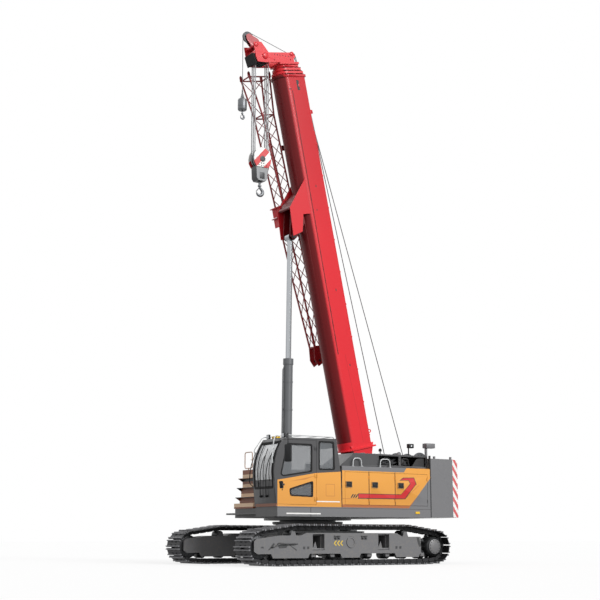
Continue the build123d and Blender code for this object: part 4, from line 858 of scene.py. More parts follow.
def loop_curve(path: Sequence[Point]) -> bpy.types.Curve:
    """Closed curve through some points."""
    curve = bpy.data.curves.new("path", "CURVE")
    curve.dimensions = "3D"
    spline = curve.splines.new("POLY")
    spline.points.add(len(path) - 1)
    for point, place in zip(spline.points, path):
        point.co = (*place, 1.0)
    spline.use_cyclic_u = True
    return curve


def faced_points(places: Sequence[Place]) -> bpy.types.Mesh:
    """Points that carry the way that each faces."""
    cloud = bpy.data.meshes.new("places")
    cloud.from_pydata([tuple(place) for place, _ in places], [], [])
    for item, (_, way) in zip(cloud.attributes.new("facing", "FLOAT_VECTOR", "POINT").data, places):
        item.vector = way
    return cloud


def bolted(name: str, places: Sequence[Place], across: float, height: float, body: Body, slot: str) -> None:
    """Hexagon bolt heads with washers, at many places."""
    bolt = Form()
    bolt.lathe((0, 0, 0), UP, ((-0.002, across * 0.68), (height * 0.22, across * 0.68)), 12)
    bolt.lathe((0, 0, 0), UP, ((height * 0.2, across * 0.5), (height * 0.85, across * 0.5), (height, across * 0.4)), 6)
    settle(name, repeated(bolt, faced_points(places)), Palette.cast, body, slot)


@dataclass
class Studio:
    """Camera, floor, white surround and soft light."""

    floor_size: float = 400.0
    floor_white: float = 0.72       # share of plain white that the camera sees in the floor
    surround: float = 0.30
    key_power: float = 2.3
    sky_power: float = 1.3

    def build(self) -> None:
        """Make everything round the machine."""
        self.camera()
        self.floor()
        self.world()
        # Soft sun from the left rear, and a very broad one from overhead
        for name, power, angle, aim in (("key", self.key_power, 20.0, (0.30, -1.0, -0.50)),
                                        ("sky", self.sky_power, 150.0, (-0.15, -0.1, -1.0))):
            data = bpy.data.lights.new(name, "SUN")
            data.energy, data.angle = power, math.radians(angle)
            linked(name, data).rotation_euler = Vector(aim).to_track_quat("-Z", "Y").to_euler()

    def camera(self) -> None:
        """Camera at the photograph's place."""
        data = bpy.data.cameras.new("camera")
        data.sensor_width, data.clip_end = SENSOR, 500.0
        data.lens = CAMERA_FOCUS * SENSOR / FRAME_WIDTH
        camera = linked("camera", data)
        aim = Vector(CAMERA_AIM).normalized()
        right = aim.cross(Vector(UP)).normalized()
        turn = Matrix((right, right.cross(aim), -aim)).transposed().to_4x4()
        camera.matrix_world = Matrix.Translation(CAMERA_PLACE) @ turn
        bpy.context.scene.camera = camera
        bpy.context.scene.view_settings.view_transform = "Standard"

    def floor(self) -> None:
        """Pale floor that fades into the surround and keeps the machine's shadow."""
        half = self.floor_size / 2
        mesh = bpy.data.meshes.new("floor")
        mesh.from_pydata([(x, y, 0) for x, y in square(-half, half, -half, half)], [], [(0, 1, 2, 3)])
        s = Shader("floor")
        rays = [Wire(s, ray) for ray in self.rays(s)]
        white = s.blend(s.noise(0.5) * 0.3, "#F6F6F6", "#F2F2F2")
        s.feed(s.blend(rays[0], "#8A8A8A", white), 0.8, Specular_IOR_Level=0.1)
        light = s.node("ShaderNodeEmission", {"Color": (1, 1, 1, 1), "Strength": 1.0})
        mixed = s.node("ShaderNodeMixShader", {0: largest(rays) * self.floor_white, 1: s.main.outputs[0],
                                               2: light.outputs[0]})
        s.put(s.tree.nodes["Material Output"].inputs[0], mixed.outputs[0])
        mesh.materials.append(s.material)
        linked("floor", mesh)

    def world(self) -> None:
        """Even grey light, white where the camera, a gloss or a clear pane sees it."""
        world = bpy.data.worlds.new("studio")
        bpy.context.scene.world = world
        world.use_nodes = True
        tree = Tree(world.node_tree)
        seen, *others = self.rays(tree)
        for other in others:
            seen = tree.node("ShaderNodeMath", {0: seen, 1: other}, operation="MAXIMUM").outputs[0]
        strength = tree.node("ShaderNodeMapRange", {"To Min": self.surround, "To Max": 1.0, "Value": seen})
        ground = tree.tree.nodes["Background"].inputs
        tree.put(ground["Color"], (1, 1, 1, 1))
        tree.put(ground["Strength"], strength.outputs["Result"])

    @staticmethod
    def rays(tree: Tree) -> list[bpy.types.NodeSocket]:
        """1 for rays from the camera, from a gloss and through a clear pane."""
        outputs = tree.node("ShaderNodeLightPath").outputs
        return [outputs[f"Is {kind} Ray"] for kind in ("Camera", "Glossy", "Transmission")]


@dataclass
class Crawler:
    """One track with its shoes, chain, rollers, side frame fittings and drive."""

    side: int                       # 1 on the left, -1 on the right
    shoe_width: float = 0.68
    shoe_count: int = 62
    plate: float = 0.014
    bar_top: float = 0.044
    link_depth: float = 0.096
    link_spread: float = 0.105
    # Upright wheels that the track runs round: x, z and radius
    end_wheel: Point = (2.5, 0.428, 0.26)
    low_wheel: Point = (2.13, 0.245, 0.105)
    top_wheel: Point = (1.62, 0.725, 0.09)

    def __post_init__(self) -> None:
        """Take the side's body and the ending of its names."""
        self.body, self.suffix = {1: (Body.LEFT_CRAWLER, "left"), -1: (Body.RIGHT_CRAWLER, "right")}[self.side]

    def path(self, offset: float) -> tuple[list[Point], float]:
        """Points of the track's path outside its wheels' treads, and its length."""
        right = (self.low_wheel, self.end_wheel, self.top_wheel)
        wheels = right + tuple((-x, z, radius) for x, z, radius in reversed(right))
        runs = []
        for (ax, az, ar), (bx, bz, br) in pairs(wheels):
            dx, dz = bx - ax, bz - az
            runs.append(math.atan2(dz, dx) - math.pi / 2 + math.asin((ar - br) / math.hypot(dx, dz)))
        points: list[Point] = []
        for (x, z, radius), enter, leave in zip(wheels, runs[-1:] + runs[:-1], runs):
            sweep = (leave - enter) % TURN
            points += swing((x, z), self.side * TRACK_Y, radius + offset, enter, sweep, max(2, int(sweep / 0.06)))
        first = max(2, int(((runs[0] - runs[-1]) % TURN) / 0.06))
        points = points[first:] + points[:first]
        points = points[:1] + points[:0:-1]
        return points, sum((Vector(a) - Vector(b)).length for a, b in pairs(points))

    def row(self, name: str, path: list[Point], form: Form, finish: Finish, angle: float, *nodes: str) -> None:
        """One form for each shoe, round a path."""
        mesh = repeated(form, loop_curve(path), self.shoe_count)
        settle(f"{name}_{self.suffix}", mesh, finish, self.body, "track_steel", nodes, angle)

    def build(self) -> None:
        """Make the shoes, the chain and the fittings."""
        path, length = self.path(self.link_depth)
        self.shoes(path, length / self.shoe_count)
        self.chain(length / self.shoe_count)
        self.fittings()

    def shoes(self, path: list[Point], pitch: float) -> None:
        """Shoes with two tapered bars and eight bolts."""
        half, wide = (pitch - 0.016) / 2, self.shoe_width / 2
        bars = Form()
        for start in (-half, half - 0.040):
            bars.plate([(start + x, z) for x, z in ((0.0, 0.001), (0.040, 0.001), (0.030, self.bar_top),
                                                    (0.010, self.bar_top))], -wide, wide)
        self.row("shoe_bars", path, bars, Palette.track, 30.0)
        form = Form()
        form.plate(square(-half, half, 0.0, self.plate), -wide + 0.004, wide - 0.004)
        for x in (-0.040, 0.040):
            for y in (-0.125, -0.085, 0.085, 0.125):
                form.lathe((x, y, self.plate), UP, ((0.0, 0.016), (0.012, 0.016)), 6)
        self.row("shoes", path, form, Palette.link, 30.0, f"track_{self.suffix}")

    def chain(self, pitch: float) -> None:
        """Two rows of link plates with the pins between them."""
        half, low, high = pitch * 0.53, -self.link_depth * 0.42, self.link_depth * 0.46
        form = Form()
        for y in (-self.link_spread, self.link_spread):
            form.plate([(half * x, z) for x, z in (
                (-1, low * 0.5), (-0.6, low), (0.6, low), (1, low * 0.5), (1, high * 0.55), (0.7, high),
                (-0.7, high), (-1, high * 0.55))], y - 0.016, y + 0.016)
        form.tube([(-half * 0.85, y, 0) for y in (-self.link_spread - 0.03, self.link_spread + 0.03)], 0.026, 10)
        self.row("chain", self.path(self.link_depth / 2)[0], form, Palette.link, 35.0)

    def y(self, out: float) -> float:
        """Y at a distance outside the side frame's face."""
        return self.side * (FRAME_FACE + out)

    def fittings(self) -> None:
        """Ring, brackets, dark plates of painted shade in the holes, and handle on the side frame, and the bolts of the
        drive's cover.
        """
        face, out, y = self.y(0), (0, self.side, 0), self.y
        form = Form()
        for x in (0.44, -0.34):
            form.box((x - 0.085, face, 0.668), (x + 0.085, y(0.03), 0.686))
            for bolt in (x - 0.045, x + 0.045):
                form.box((bolt - 0.034, face, 0.600), (bolt + 0.034, y(0.012), 0.660), 0.003)
                form.lathe((bolt, face, 0.630), out, ((0, 0.02), (0.03, 0.02), (0.035, 0.012)), 16)
        form.tube(swing((0.04, 0.535), face, 0.126, 0.0, TURN * 41 / 40, 41), 0.011, 6)
        form.done(f"frame_brackets_{self.suffix}", Palette.dark, self.body, "body_grey")
        # Painted shade: dark plates in the side frame's holes and recesses
        holes = Form()
        for outline in (((2.34, 0.36), (2.19, 0.52), (2.15, 0.50), (2.28, 0.37)),
                        ((2.10, 0.50), (2.05, 0.53), (1.88, 0.52), (1.81, 0.46), (1.85, 0.41), (2.03, 0.40)),
                        square(1.53, 1.77, 0.48, 0.51), ((1.76, 0.47), (1.73, 0.47), (1.56, 0.37), (1.57, 0.34)),
                        ((2.53, 0.41), (2.50, 0.445), (2.45, 0.44), (2.45, 0.40)),
                        ((-1.92, 0.66), (-1.99, 0.64), (-2.06, 0.44), (-2.00, 0.42), (-1.96, 0.50)),
                        *(square(x - 0.03, x + 0.03, 0.38, 0.44) for x in (1.36, 1.25, -1.30, -1.42))):
            holes.plate(outline, y(-0.02), y(0.002))
        holes.done(f"frame_recesses_{self.suffix}", Palette.dark, self.body, "body_grey")
        handle = Form()
        handle.bar(((2.24, face, 0.42), (2.22, y(0.05), 0.43), (2.04, y(0.05), 0.50), (1.60, y(0.05), 0.50),
                    (1.60, face, 0.50)), 0.04, 0.014)
        handle.done(f"frame_handle_{self.suffix}", Palette.dark, self.body, "body_grey")
        hub = (-2.5, (TRACK_Y + 0.215) * self.side, 0.428)
        cover = Form()
        cover.lathe(hub, out, ((-0.004, 0.178), (0.004, 0.178), (0.008, 0.172)), 40)
        cover.done(f"hub_cover_{self.suffix}", Palette.side_frame, self.body, "track_steel")
        bolted(f"hub_bolts_{self.suffix}", ring_of(hub, out, 0.145, 12), 0.026, 0.014, self.body, "track_steel")
        gussets = Form()
        for front in (1.122, -0.76):
            gussets.box((front - 0.326, y(-0.16), 0.362), (front, y(-0.02), 0.40))
            gussets.plate(((front - 0.05, 0.40), (front - 0.17, 0.40), (front - 0.12, 0.56)), y(-0.09), y(-0.075))
        gussets.done(f"window_gussets_{self.suffix}", Palette.side_frame, self.body, "body_grey")


@dataclass
class Cab:
    """Windscreen bars, wipers, gaskets, door fittings, roof guard, mirrors and lamps of the cab."""

    inner: float = 0.475                # right wall
    glass_edge: float = 0.085           # from the cab's side to the windscreen
    mullion: float = 0.72
    door_windows: tuple[Sequence[Flat], ...] = (
        ((0.825, 2.190), (1.630, 2.065), (1.700, 2.110), (1.520, 2.830), (0.825, 2.830)),
        ((0.803, 1.597), (1.428, 1.615), (1.452, 1.768), (0.802, 1.957)))
    rear_window: Sequence[Flat] = ((0.170, 2.250), (0.620, 2.240), (0.620, 2.915), (0.190, 2.915))
    roof_rails: Flat = (0.60, 1.33)

    def nose(self, low: float, high: float, parts: int = 14, out: float = 0.0) -> list[Flat]:
        """Points of the nose's curve between two heights, at a distance before it."""
        curve = [(1.823, 1.40), *arc((1.880, 2.000), (1.818, 2.580), (1.600, 2.965))]
        result = []
        for i in range(parts + 1):
            z = low + (high - low) * i / parts
            (ax, az), (bx, bz) = next(pair for pair in zip(curve, curve[1:]) if z <= pair[1][1])
            result.append((ax + (bx - ax) * (z - az) / (bz - az) + out, z))
        return result

    def build(self) -> None:
        """Make every fitting."""
        self.front()
        self.wipers()
        self.gaskets()
        self.door()
        self.rails()
        self.mirrors()
        self.lamps()
        self.inside()

    def front(self) -> None:
        """Bars over the windscreen, the dark panel under it and the black corner posts."""
        bars = Form()
        edges = (self.inner + self.glass_edge, SIDE - self.glass_edge)
        for y, high, out, radius in ((self.mullion, 2.88, 0.004, 0.010), *((y, 2.90, 0.002, 0.016) for y in edges)):
            bars.tube([(x, y, z) for x, z in self.nose(1.80, high, out=out)], radius, 8)
        for z in (1.80, 2.86):
            x = self.nose(z, z + 0.01, 1)[0][0]
            bars.box((x - 0.02, self.inner + 0.08, z - 0.03), (x + 0.012, SIDE - 0.08, z + 0.03), 0.006)
        bars.done("windscreen_bars", Palette.rubber, Body.UPPER, "black_plastic")
        panel = Form()
        panel.plate(self.nose(1.435, 1.79, 4, 0.006) + self.nose(1.435, 1.79, 4, -0.05)[::-1],
                    self.inner + 0.03, SIDE - 0.03, 0.003)
        panel.done("front_panel", Palette.charcoal, Body.UPPER, "black_plastic")

    def wipers(self) -> None:
        """Two wiper arms with their blades on the windscreen."""
        form, lean = Form(), 0.16
        for foot in (1.10, 0.84):
            arm = [(x, foot + lean * (i / 10) ** 1.4, z) for i, (x, z) in enumerate(self.nose(1.60, 2.52, 10, 0.045))]
            form.tube(arm, 0.010, 8)
            form.lathe((arm[0][0] - 0.03, *arm[0][1:]), (1, 0, 0), ((0.0, 0.03), (0.04, 0.03), (0.05, 0.02)), 16)
            blade = [(x, foot + lean * 1.05, z) for x, z in self.nose(1.95, 2.72, 10, 0.026)]
            form.tube(blade, 0.009, 6)
            form.tube((arm[-1], blade[8]), 0.008, 6)
        form.done("wipers", Palette.rubber, Body.UPPER, "black_plastic")

    def gaskets(self) -> None:
        """Rubber seals round the side windows, and the dark joints before and behind the hood."""
        joints = Form()
        joints.box((-0.0515, 1.30, 1.362), (-0.0305, 1.446, 2.35), 0.0)
        joints.box((-2.797, 1.40, 1.14), (-2.765, 1.4515, 2.69), 0.0)
        joints.done("side_joints", Palette.ink, Body.UPPER, "black_plastic")
        for name, outlines, body in (("door_gaskets", self.door_windows, Body.CAB_DOOR),
                                     ("rear_window_gasket", (self.rear_window,), Body.UPPER)):
            form = Form()
            for outline in outlines:
                form.frame_ring(rounded(moved(outline, -0.012), 0.05), rounded(moved(outline, 0.022), 0.05),
                                SIDE - 0.008, SIDE + 0.004)
            form.done(name, Palette.rubber, body, "black_plastic")

    def door(self) -> None:
        """Recessed handle and lock on the door."""
        form = Form()
        outline = rounded(((1.628, 1.775), (1.725, 1.775), (1.740, 1.945), (1.640, 1.945)), 0.025)
        form.frame_ring(outline, moved(outline, 0.014), SIDE - 0.006, SIDE + 0.010)
        form.plate(moved(outline, 0.012), SIDE - 0.006, SIDE + 0.003)
        out = SIDE + 0.024
        form.bar(((1.682, SIDE, 1.80), (1.682, out, 1.81), (1.692, out, 1.92), (1.692, SIDE, 1.93)), 0.02, 0.011)
        form.lathe((1.66, SIDE + 0.002, 1.745), (0, 1, 0), ((0.0, 0.014), (0.006, 0.014)), 16)
        form.done("door_handle", Palette.plastic, Body.CAB_DOOR, "black_plastic")

    def rails(self) -> None:
        """Smooth bars of the roof guard and of the hood's grab rails, in place of the plain ones."""
        form = Form()
        for y in self.roof_rails:
            form.bar(((1.48, y, 2.965), (1.46, y, 3.040), (0.12, y, 3.040), (0.10, y, 2.985)), 0.06, 0.012)
        for x in (0.16, 0.55, 1.00, 1.42):
            form.tube([(x, y, 3.040) for y in self.roof_rails], 0.008, 8)
        y, low, high = SIDE - 0.055, 2.3535, 2.556
        for x0, x1 in ((-0.412, -0.676), (-1.238, -1.549)):
            form.bar(((x0, y, low), (x0 - 0.015, y, high), (x1 + 0.015, y, high), (x1, y, low)), 0.09, 0.013, 12)
            for x in (x0, x1):
                form.box((x - 0.03, y - 0.022, low), (x + 0.03, y + 0.022, 2.362), 0.002)
        # Rail before the windscreen's left edge, from the roof to its middle
        form.bar(((1.50, 1.05, 3.030), (1.66, 1.12, 3.030), (1.76, 1.22, 2.86), (1.895, 1.38, 2.50),
                  (1.885, 1.39, 2.36)), 0.08, 0.014)
        # Arm and grab rail of the right mirror
        form.bar(((1.48, 0.56, 3.02), (1.62, 0.50, 3.03), (1.84, 0.45, 2.70), (1.80, 0.45, 2.60)), 0.10, 0.011)
        form.done("rails", Palette.pale_rail, Body.UPPER, "light_rail", "handrails")
        bar = Form()
        bar.bar(((1.79, 0.45, 2.66), (1.93, 0.44, 2.30), (1.955, 0.44, 1.93), (1.87, 0.47, 1.84)), 0.15, 0.010)
        bar.done("right_corner_bar", Palette.rubber, Body.UPPER, "black_plastic")

    def mirrors(self) -> None:
        """Black left mirror on its arm, and the pale loop on the right steps."""
        arm = (1.818, 1.95)
        form = Form()
        form.bar(((1.50, 1.39, 2.972), (1.50, 1.39, 3.028), (*arm, 3.028), (*arm, 2.62)), 0.07, 0.012, 12)
        form.place = Matrix.Translation((*arm, 2.565)) @ Matrix.Rotation(math.radians(30), 4, "Z")
        outline = rounded(square(-0.090, 0.090, -0.200, 0.200), 0.04)
        form.add([(x, y * share, z * share) for x, share in ((-0.020, 1.0), (0.004, 1.0), (0.020, 0.80))
                  for y, z in outline], stack(3, len(outline)))
        form.finish_index = 1
        form.add([(x, y, z) for x in (-0.0205, -0.0235) for y, z in moved(outline, 0.012)], stack(2, len(outline)))
        form.done("left_mirror", (Palette.plastic, Palette.mirror), Body.UPPER, "black_plastic", "mirrors")
        loop = Form()
        x, y, low, high = 0.915, -1.36, 2.393, 2.80
        path = [(x, a, b) for a, b in rounded(square(y - 0.185, y + 0.185, low, high), 0.06)]
        loop.tube(path + path[:2], 0.013, 10)
        loop.tube(((x, y, 2.3405), (x, y, low)), 0.014, 10)
        loop.tube(((x, y + 0.185, 2.60), (x, y + 0.10, 2.60)), 0.008, 8)
        loop.done("right_mirror_loop", Palette.tan_rail, Body.UPPER, "step_brown")

    def lamps(self) -> None:
        """Work lamps on the roof's front, beacon and camera, in place of the plain ones."""
        shell, lens = Form(), Form()
        for y in (0.62, 1.305):
            shell.box((1.51, y - 0.06, 2.978), (1.56, y + 0.06, 3.088), 0.012)
            lens.box((1.557, y - 0.048, 2.992), (1.563, y + 0.048, 3.074), 0.002)
        shell.tube(((-1.39, 1.20, 2.6865), (-1.39, 1.20, 2.765)), 0.014, 12)
        shell.lathe((-1.39, 1.20, 2.76), UP, ((0.0, 0.036), (0.01, 0.042), (0.045, 0.040), (0.066, 0.028),
                                              (0.075, 0.012)), 24)
        shell.tube(((-2.52, 0.90, 2.6865), (-2.52, 0.90, 2.91)), 0.016, 12)
        shell.box((-2.66, 0.85, 2.905), (-2.50, 0.95, 3.015), 0.01)
        lens.lathe((-2.66, 0.90, 2.96), (-1, 0, 0), ((-0.004, 0.03), (0.012, 0.03), (0.016, 0.024)), 20)
        lens.lathe((-2.58, 0.95, 2.96), (0, 1, 0), ((-0.004, 0.022), (0.006, 0.022)), 20)
        shell.done("lamp_housings", Palette.plastic, Body.UPPER, "black_plastic", "lamps")
        lens.done("lamp_lenses", Palette.lens, Body.UPPER, "black_plastic")
        marker = Form()
        marker.box((1.40, 0.72, 2.985), (1.50, 0.94, 3.040), 0.008)
        marker.plate(rounded(square(-2.41, -2.275, 1.225, 1.282), 0.02), SIDE - 0.004, SIDE + 0.014, 0.004)
        marker.done("side_marker", Palette.amber, Body.UPPER, "body_yellow")

    def inside(self) -> None:
        """Console, levers, screen and steering aids behind the glass."""
        form = Form()
        form.box((1.42, 0.60, 1.45), (1.64, 1.25, 1.64), 0.02)
        form.plate(((1.40, 1.64), (1.66, 1.60), (1.72, 1.86), (1.62, 1.90)), 0.64, 1.20, 0.01)
        for y in (0.70, 1.23):
            form.box((0.72, y - 0.05, 1.83), (1.16, y + 0.05, 1.90), 0.018)
            form.tube(((1.08, y, 1.89), (1.10, y, 1.99)), (0.016, 0.012), 10)
            form.lathe((1.10, y, 1.98), (0.12, 0, 1), ((0.0, 0.018), (0.05, 0.026), (0.10, 0.022), (0.115, 0.010)), 16)
        form.box((1.60, 0.60, 2.02), (1.64, 0.84, 2.20), 0.01)
        form.tube(((1.60, 0.72, 1.84), (1.62, 0.72, 2.06)), 0.014, 8)
        for y in (0.80, 1.05):
            form.box((1.60, y - 0.05, 1.455), (1.74, y + 0.05, 1.475), 0.006)
        form.done("cab_controls", Palette.plastic, Body.UPPER, "black_plastic", "cab_console")


@dataclass
class Seat:
    """Two padded cushions with piping, of the operator's seat."""

    middle: float = 0.9625
    swell: float = 0.014

    def build(self) -> None:
        """Make the cushion and the backrest."""
        base = Matrix.Translation((0.80, self.middle, 1.762))
        back = Matrix.Translation((0.560, self.middle, 2.130)) @ Matrix.Rotation(math.radians(-10), 4, "Y")
        joined, seams = bmesh.new(), Form()
        for place, size in ((base, (0.50, 0.48, 0.100)), (back, (0.095, 0.46, 0.62))):
            joined.from_mesh(self.pad(place, size))
            seams.place = place
            hx, hy, hz = (s / 2 for s in size)
            if hz < hx:
                path = [(x * 0.985, y * 0.985, hz * 0.80) for x, y in rounded(square(-hx, hx, -hy, hy), 0.06)]
            else:
                path = [(hx * 0.80, y * 0.985, z * 0.985) for y, z in rounded(square(-hy, hy, -hz, hz), 0.06)]
            seams.tube(path + path[:2], 0.005, 6)
        mesh = bpy.data.meshes.new("seat")
        joined.to_mesh(mesh)
        joined.free()
        piece = settle("seat_pads", mesh, Palette.cloth, Body.UPPER, "seat_fabric", ("seat_cushion",), 60.0)
        seams.done("seat_piping", Palette.plastic, Body.UPPER, "seat_fabric")

    def pad(self, place: Matrix, size: Point) -> bpy.types.Mesh:
        """Crowned cushion, swollen by a short cloth simulation.

        Args:
            place: Where its middle goes.
            size: Its length, width and thickness.

        Returns:
            The swollen mesh, in place.
        """
        form = Form(place)
        half = [s / 2 - self.swell * 0.6 for s in size]
        form.box([-h for h in half], half, 0.03)
        thing = linked("pad", form.baked("pad"))
        remesh = thing.modifiers.new("voxels", "REMESH")
        remesh.mode, remesh.voxel_size = "VOXEL", 0.006
        cloth = thing.modifiers.new("cloth", "CLOTH")
        cloth.settings.use_pressure = True
        cloth.settings.uniform_pressure_force = 4.0
        cloth.settings.effector_weights.gravity = 0.0
        for step in range(1, 21):
            bpy.context.scene.frame_set(step)
        swollen = evaluated(thing)
        back = place.inverted()
        for vertex in swollen.vertices:
            local = back @ vertex.co
            vertex.co = place @ Vector([max(-s / 2, min(s / 2, value)) for s, value in zip(size, local)])
        return swollen


@dataclass
class Hood:
    """Latches, ports' machinery, covers and fittings of the engine hood and the right housing."""

    latches: tuple[tuple[float, Body], ...] = ((-0.246, Body.FRONT_DOOR), (-1.025, Body.MIDDLE_DOOR),
                                               (-1.825, Body.REAR_DOOR))
    latch_z: float = 1.912
    ports: tuple[Flat, ...] = ((-1.24, -1.86), (-1.93, -2.72))
    # Bolted covers: front, rear, right and left
    covers: tuple[tuple[float, ...], ...] = ((-0.60, -1.45, 0.56, 1.26), (-1.52, -2.05, 0.56, 1.26))
    top: float = 2.686
    upper_side: float = 1.34
    right_face: float = -SIDE + 0.0005

    def build(self) -> None:
        """Make every fitting."""
        self.door_latches()
        self.machinery()
        self.roof()
        self.housing()

    def door_latches(self) -> None:
        """Black paddle latch in a pale frame on each door."""
        z = self.latch_z
        for x, body in self.latches:
            form = Form()
            outline = rounded(square(x - 0.098, x + 0.095, z - 0.078, z + 0.078), 0.02)
            form.frame_ring(outline, moved(outline, 0.012), SIDE - 0.004, SIDE + 0.016)
            form.finish_index = 1
            form.plate(moved(outline, 0.010), SIDE - 0.004, SIDE + 0.0135)
            form.box((x - 0.050, SIDE + 0.012, z - 0.032), (x + 0.055, SIDE + 0.019, z + 0.036))
            form.box((x - 0.020, SIDE + 0.018, z - 0.026), (x + 0.035, SIDE + 0.024, z + 0.010))
            form.done(f"latch_{body.value}", (Palette.band, Palette.plastic), body, "black_plastic")

    def machinery(self) -> None:
        """Hoses, pipes, a filter and a cooler behind the ports of the upper side, and dark sheets of painted shade
        inside the ports.
        """
        hoses = Form()
        for index in range(5):
            z, y = 2.42 + 0.045 * index, 1.27 - 0.02 * index
            hoses.tube(sagged((-1.26, y, z), (-1.85, y, z + 0.03 * (index % 2)), 0.03 + 0.01 * index), 0.017, 8)
            hoses.tube(sagged((-1.95, y - 0.03, z + 0.02), (-2.30, y - 0.05, z - 0.01), 0.02), 0.015, 8)
        hoses.bar(((-1.30, 1.22, 2.40), (-1.42, 1.26, 2.56), (-1.62, 1.26, 2.60), (-1.72, 1.24, 2.42)), 0.08, 0.024)
        hoses.bar(((-1.98, 1.22, 2.40), (-2.02, 1.25, 2.60), (-2.22, 1.25, 2.60), (-2.26, 1.22, 2.44)), 0.08, 0.022)
        hoses.done("port_hoses", Palette.hose, Body.UPPER, "black_plastic")
        blocks = Form()
        for x, z in ((-1.50, 2.47), (-1.66, 2.52), (-2.12, 2.50)):
            blocks.box((x - 0.06, 1.05, z - 0.05), (x + 0.06, 1.22, z + 0.05), 0.01)
        blocks.lathe((-1.72, 0.95, 2.50), (0, 1, 0), ((0.0, 0.09), (0.24, 0.09), (0.27, 0.06)), 24)
        blocks.lathe((-2.06, 1.00, 2.53), (0, 1, 0), ((0.0, 0.11), (0.20, 0.11), (0.24, 0.05)), 28)
        blocks.done("port_machinery", Palette.cast, Body.UPPER, "engine_grey")
        # Painted shade: dark sheets behind the ports' machinery
        shade = Form()
        for front, rear in self.ports:
            shade.box((rear - 0.02, 0.90, 2.37), (front + 0.02, 0.92, 2.66), 0.0)
        shade.plate(((-2.32, 2.41), (-2.72, 2.41), (-2.72, 2.645), (-2.46, 2.60)), 1.27, 1.29)
        shade.done("port_shades", Palette.ink, Body.UPPER, "engine_grey")

    def roof(self) -> None:
        """Bolted covers, lifting eye, filler cap and post on the hood's top, and the exhaust."""
        form, places = Form(), []
        for front, rear, y0, y1 in (*self.covers, (-2.12, -2.70, 0.56, 0.80)):
            form.box((rear, y0, self.top - 0.001), (front, y1, self.top + 0.007))
        form.lathe((-2.213, 0.88, self.top + 0.055), (0, 1, 0), ((0.0, 0.055), (0.03, 0.055)), 24)
        form.lathe((-1.05, 0.90, self.top), UP, ((0.0, 0.075), (0.035, 0.075), (0.045, 0.06)), 32)
        form.done("hood_covers", Palette.grey, Body.UPPER, "body_grey")
        for front, rear, y0, y1 in self.covers:
            count = int((front - rear) / 0.12)
            for index in range(count + 1):
                x = front - 0.03 - (front - rear - 0.06) * index / count
                places += [((x, y, self.top + 0.006), UP) for y in (y0 + 0.03, y1 - 0.03)]
        places += [((x, self.upper_side, z), (0, 1, 0)) for x in (-1.215, -1.885, -2.745) for z in (2.43, 2.52, 2.61)]
        bolted("hood_bolts", places, 0.018, 0.010, Body.UPPER, "body_grey")
        pipe, foot = Form(), (-3.01, 1.0, 2.6203)
        pipe.tube((foot, (-3.01, 1.0, 2.93)), 0.036, 20)
        pipe.lathe(foot, UP, ((0.0, 0.06), (0.012, 0.06)), 24)
        pipe.box((-3.25, 0.91, 2.915), (-2.965, 1.09, 3.040), 0.016)
        for index in range(6):
            x = -3.23 + 0.045 * index
            pipe.box((x, 1.088, 2.94), (x + 0.022, 1.0895, 3.015), 0.0)
        pipe.done("exhaust_box", Palette.grey, Body.UPPER, "body_grey", "exhaust")

    def housing(self) -> None:
        """Louvred vents, doors' seams and handles on the right housing."""
        y, blade = self.right_face, Form()
        blade.add([(x, out, z) for out, z in ((0.0, -0.012), (-0.016, -0.020), (0.0, 0.012)) for x in (-0.26, 0.26)],
                  ((0, 1, 3, 2), (2, 3, 5, 4), (4, 5, 1, 0), (0, 2, 4), (1, 5, 3)))
        places = [((x, y, 1.72 + 0.042 * row), UP) for x in (-0.45, -1.25, -2.05) for row in range(11)]
        settle("right_vents", repeated(blade, faced_points(places)), Palette.grey, Body.UPPER, "body_grey")
        form = Form()
        for x in (0.42, -0.05, -0.85, -1.65, -2.45):
            form.box((x - 0.004, y - 0.003, 1.42), (x + 0.004, y + 0.004, 2.28), 0.0)
        for z in (1.42, 2.28):
            form.box((-2.45, y - 0.003, z - 0.004), (0.42, y + 0.004, z + 0.004), 0.0)
        form.done("right_seams", Palette.ink, Body.UPPER, "body_grey")
        handles = Form()
        for x in (0.10, -0.72, -1.52, -2.32):
            handles.box((x - 0.05, y - 0.014, 1.60), (x + 0.05, y + 0.004, 1.65), 0.006)
        handles.done("right_latches", Palette.plastic, Body.UPPER, "black_plastic")


@dataclass
class Drum:
    """One winch drum wound with rope, with its flanges."""

    name: str
    body: Body
    centre: Flat
    rope: float = 0.020
    core: float = 0.168
    flange: float = 0.259
    length: float = 0.555

    def build(self) -> None:
        """Make the wound rope, the flanges and their bolts, in place of the plain drum."""
        (x, z), half = self.centre, self.length / 2
        profile = [(-half + 0.022, self.core - 0.05)]
        for part in range(6 * int((self.length - 0.05) / self.rope)):
            profile.append((-half + 0.025 + self.rope * part / 6,
                            self.core + 0.008 * abs(math.sin(math.pi * part / 6)) + 0.010))
        profile.append((half - 0.022, self.core - 0.05))
        wound = Form()
        wound.lathe((x, 0, z), (0, 1, 0), profile, 48)
        wound.done(f"{self.name}_wound_rope", Palette.rope, self.body, "rope_steel", self.name)
        ends, places = Form(), []
        for side in (-1, 1):
            middle = (x, side * half, z)
            ends.lathe(middle, (0, -side, 0), (
                (0.0, 0.06), (0.0, self.flange - 0.01), (0.004, self.flange), (0.018, self.flange),
                (0.022, self.flange - 0.006), (0.022, self.core - 0.02)), 48)
            ends.lathe(middle, (0, side, 0), ((-0.01, 0.11), (0.012, 0.11), (0.020, 0.095), (0.020, 0.049),
                                              (0.0235, 0.049)), 32)
            places += ring_of(middle, (0, side, 0), 0.20, 12)
        ends.done(f"{self.name}_flanges", Palette.cast, self.body, "rope_steel")
        bolted(f"{self.name}_bolts", places, 0.020, 0.009, self.body, "rope_steel")


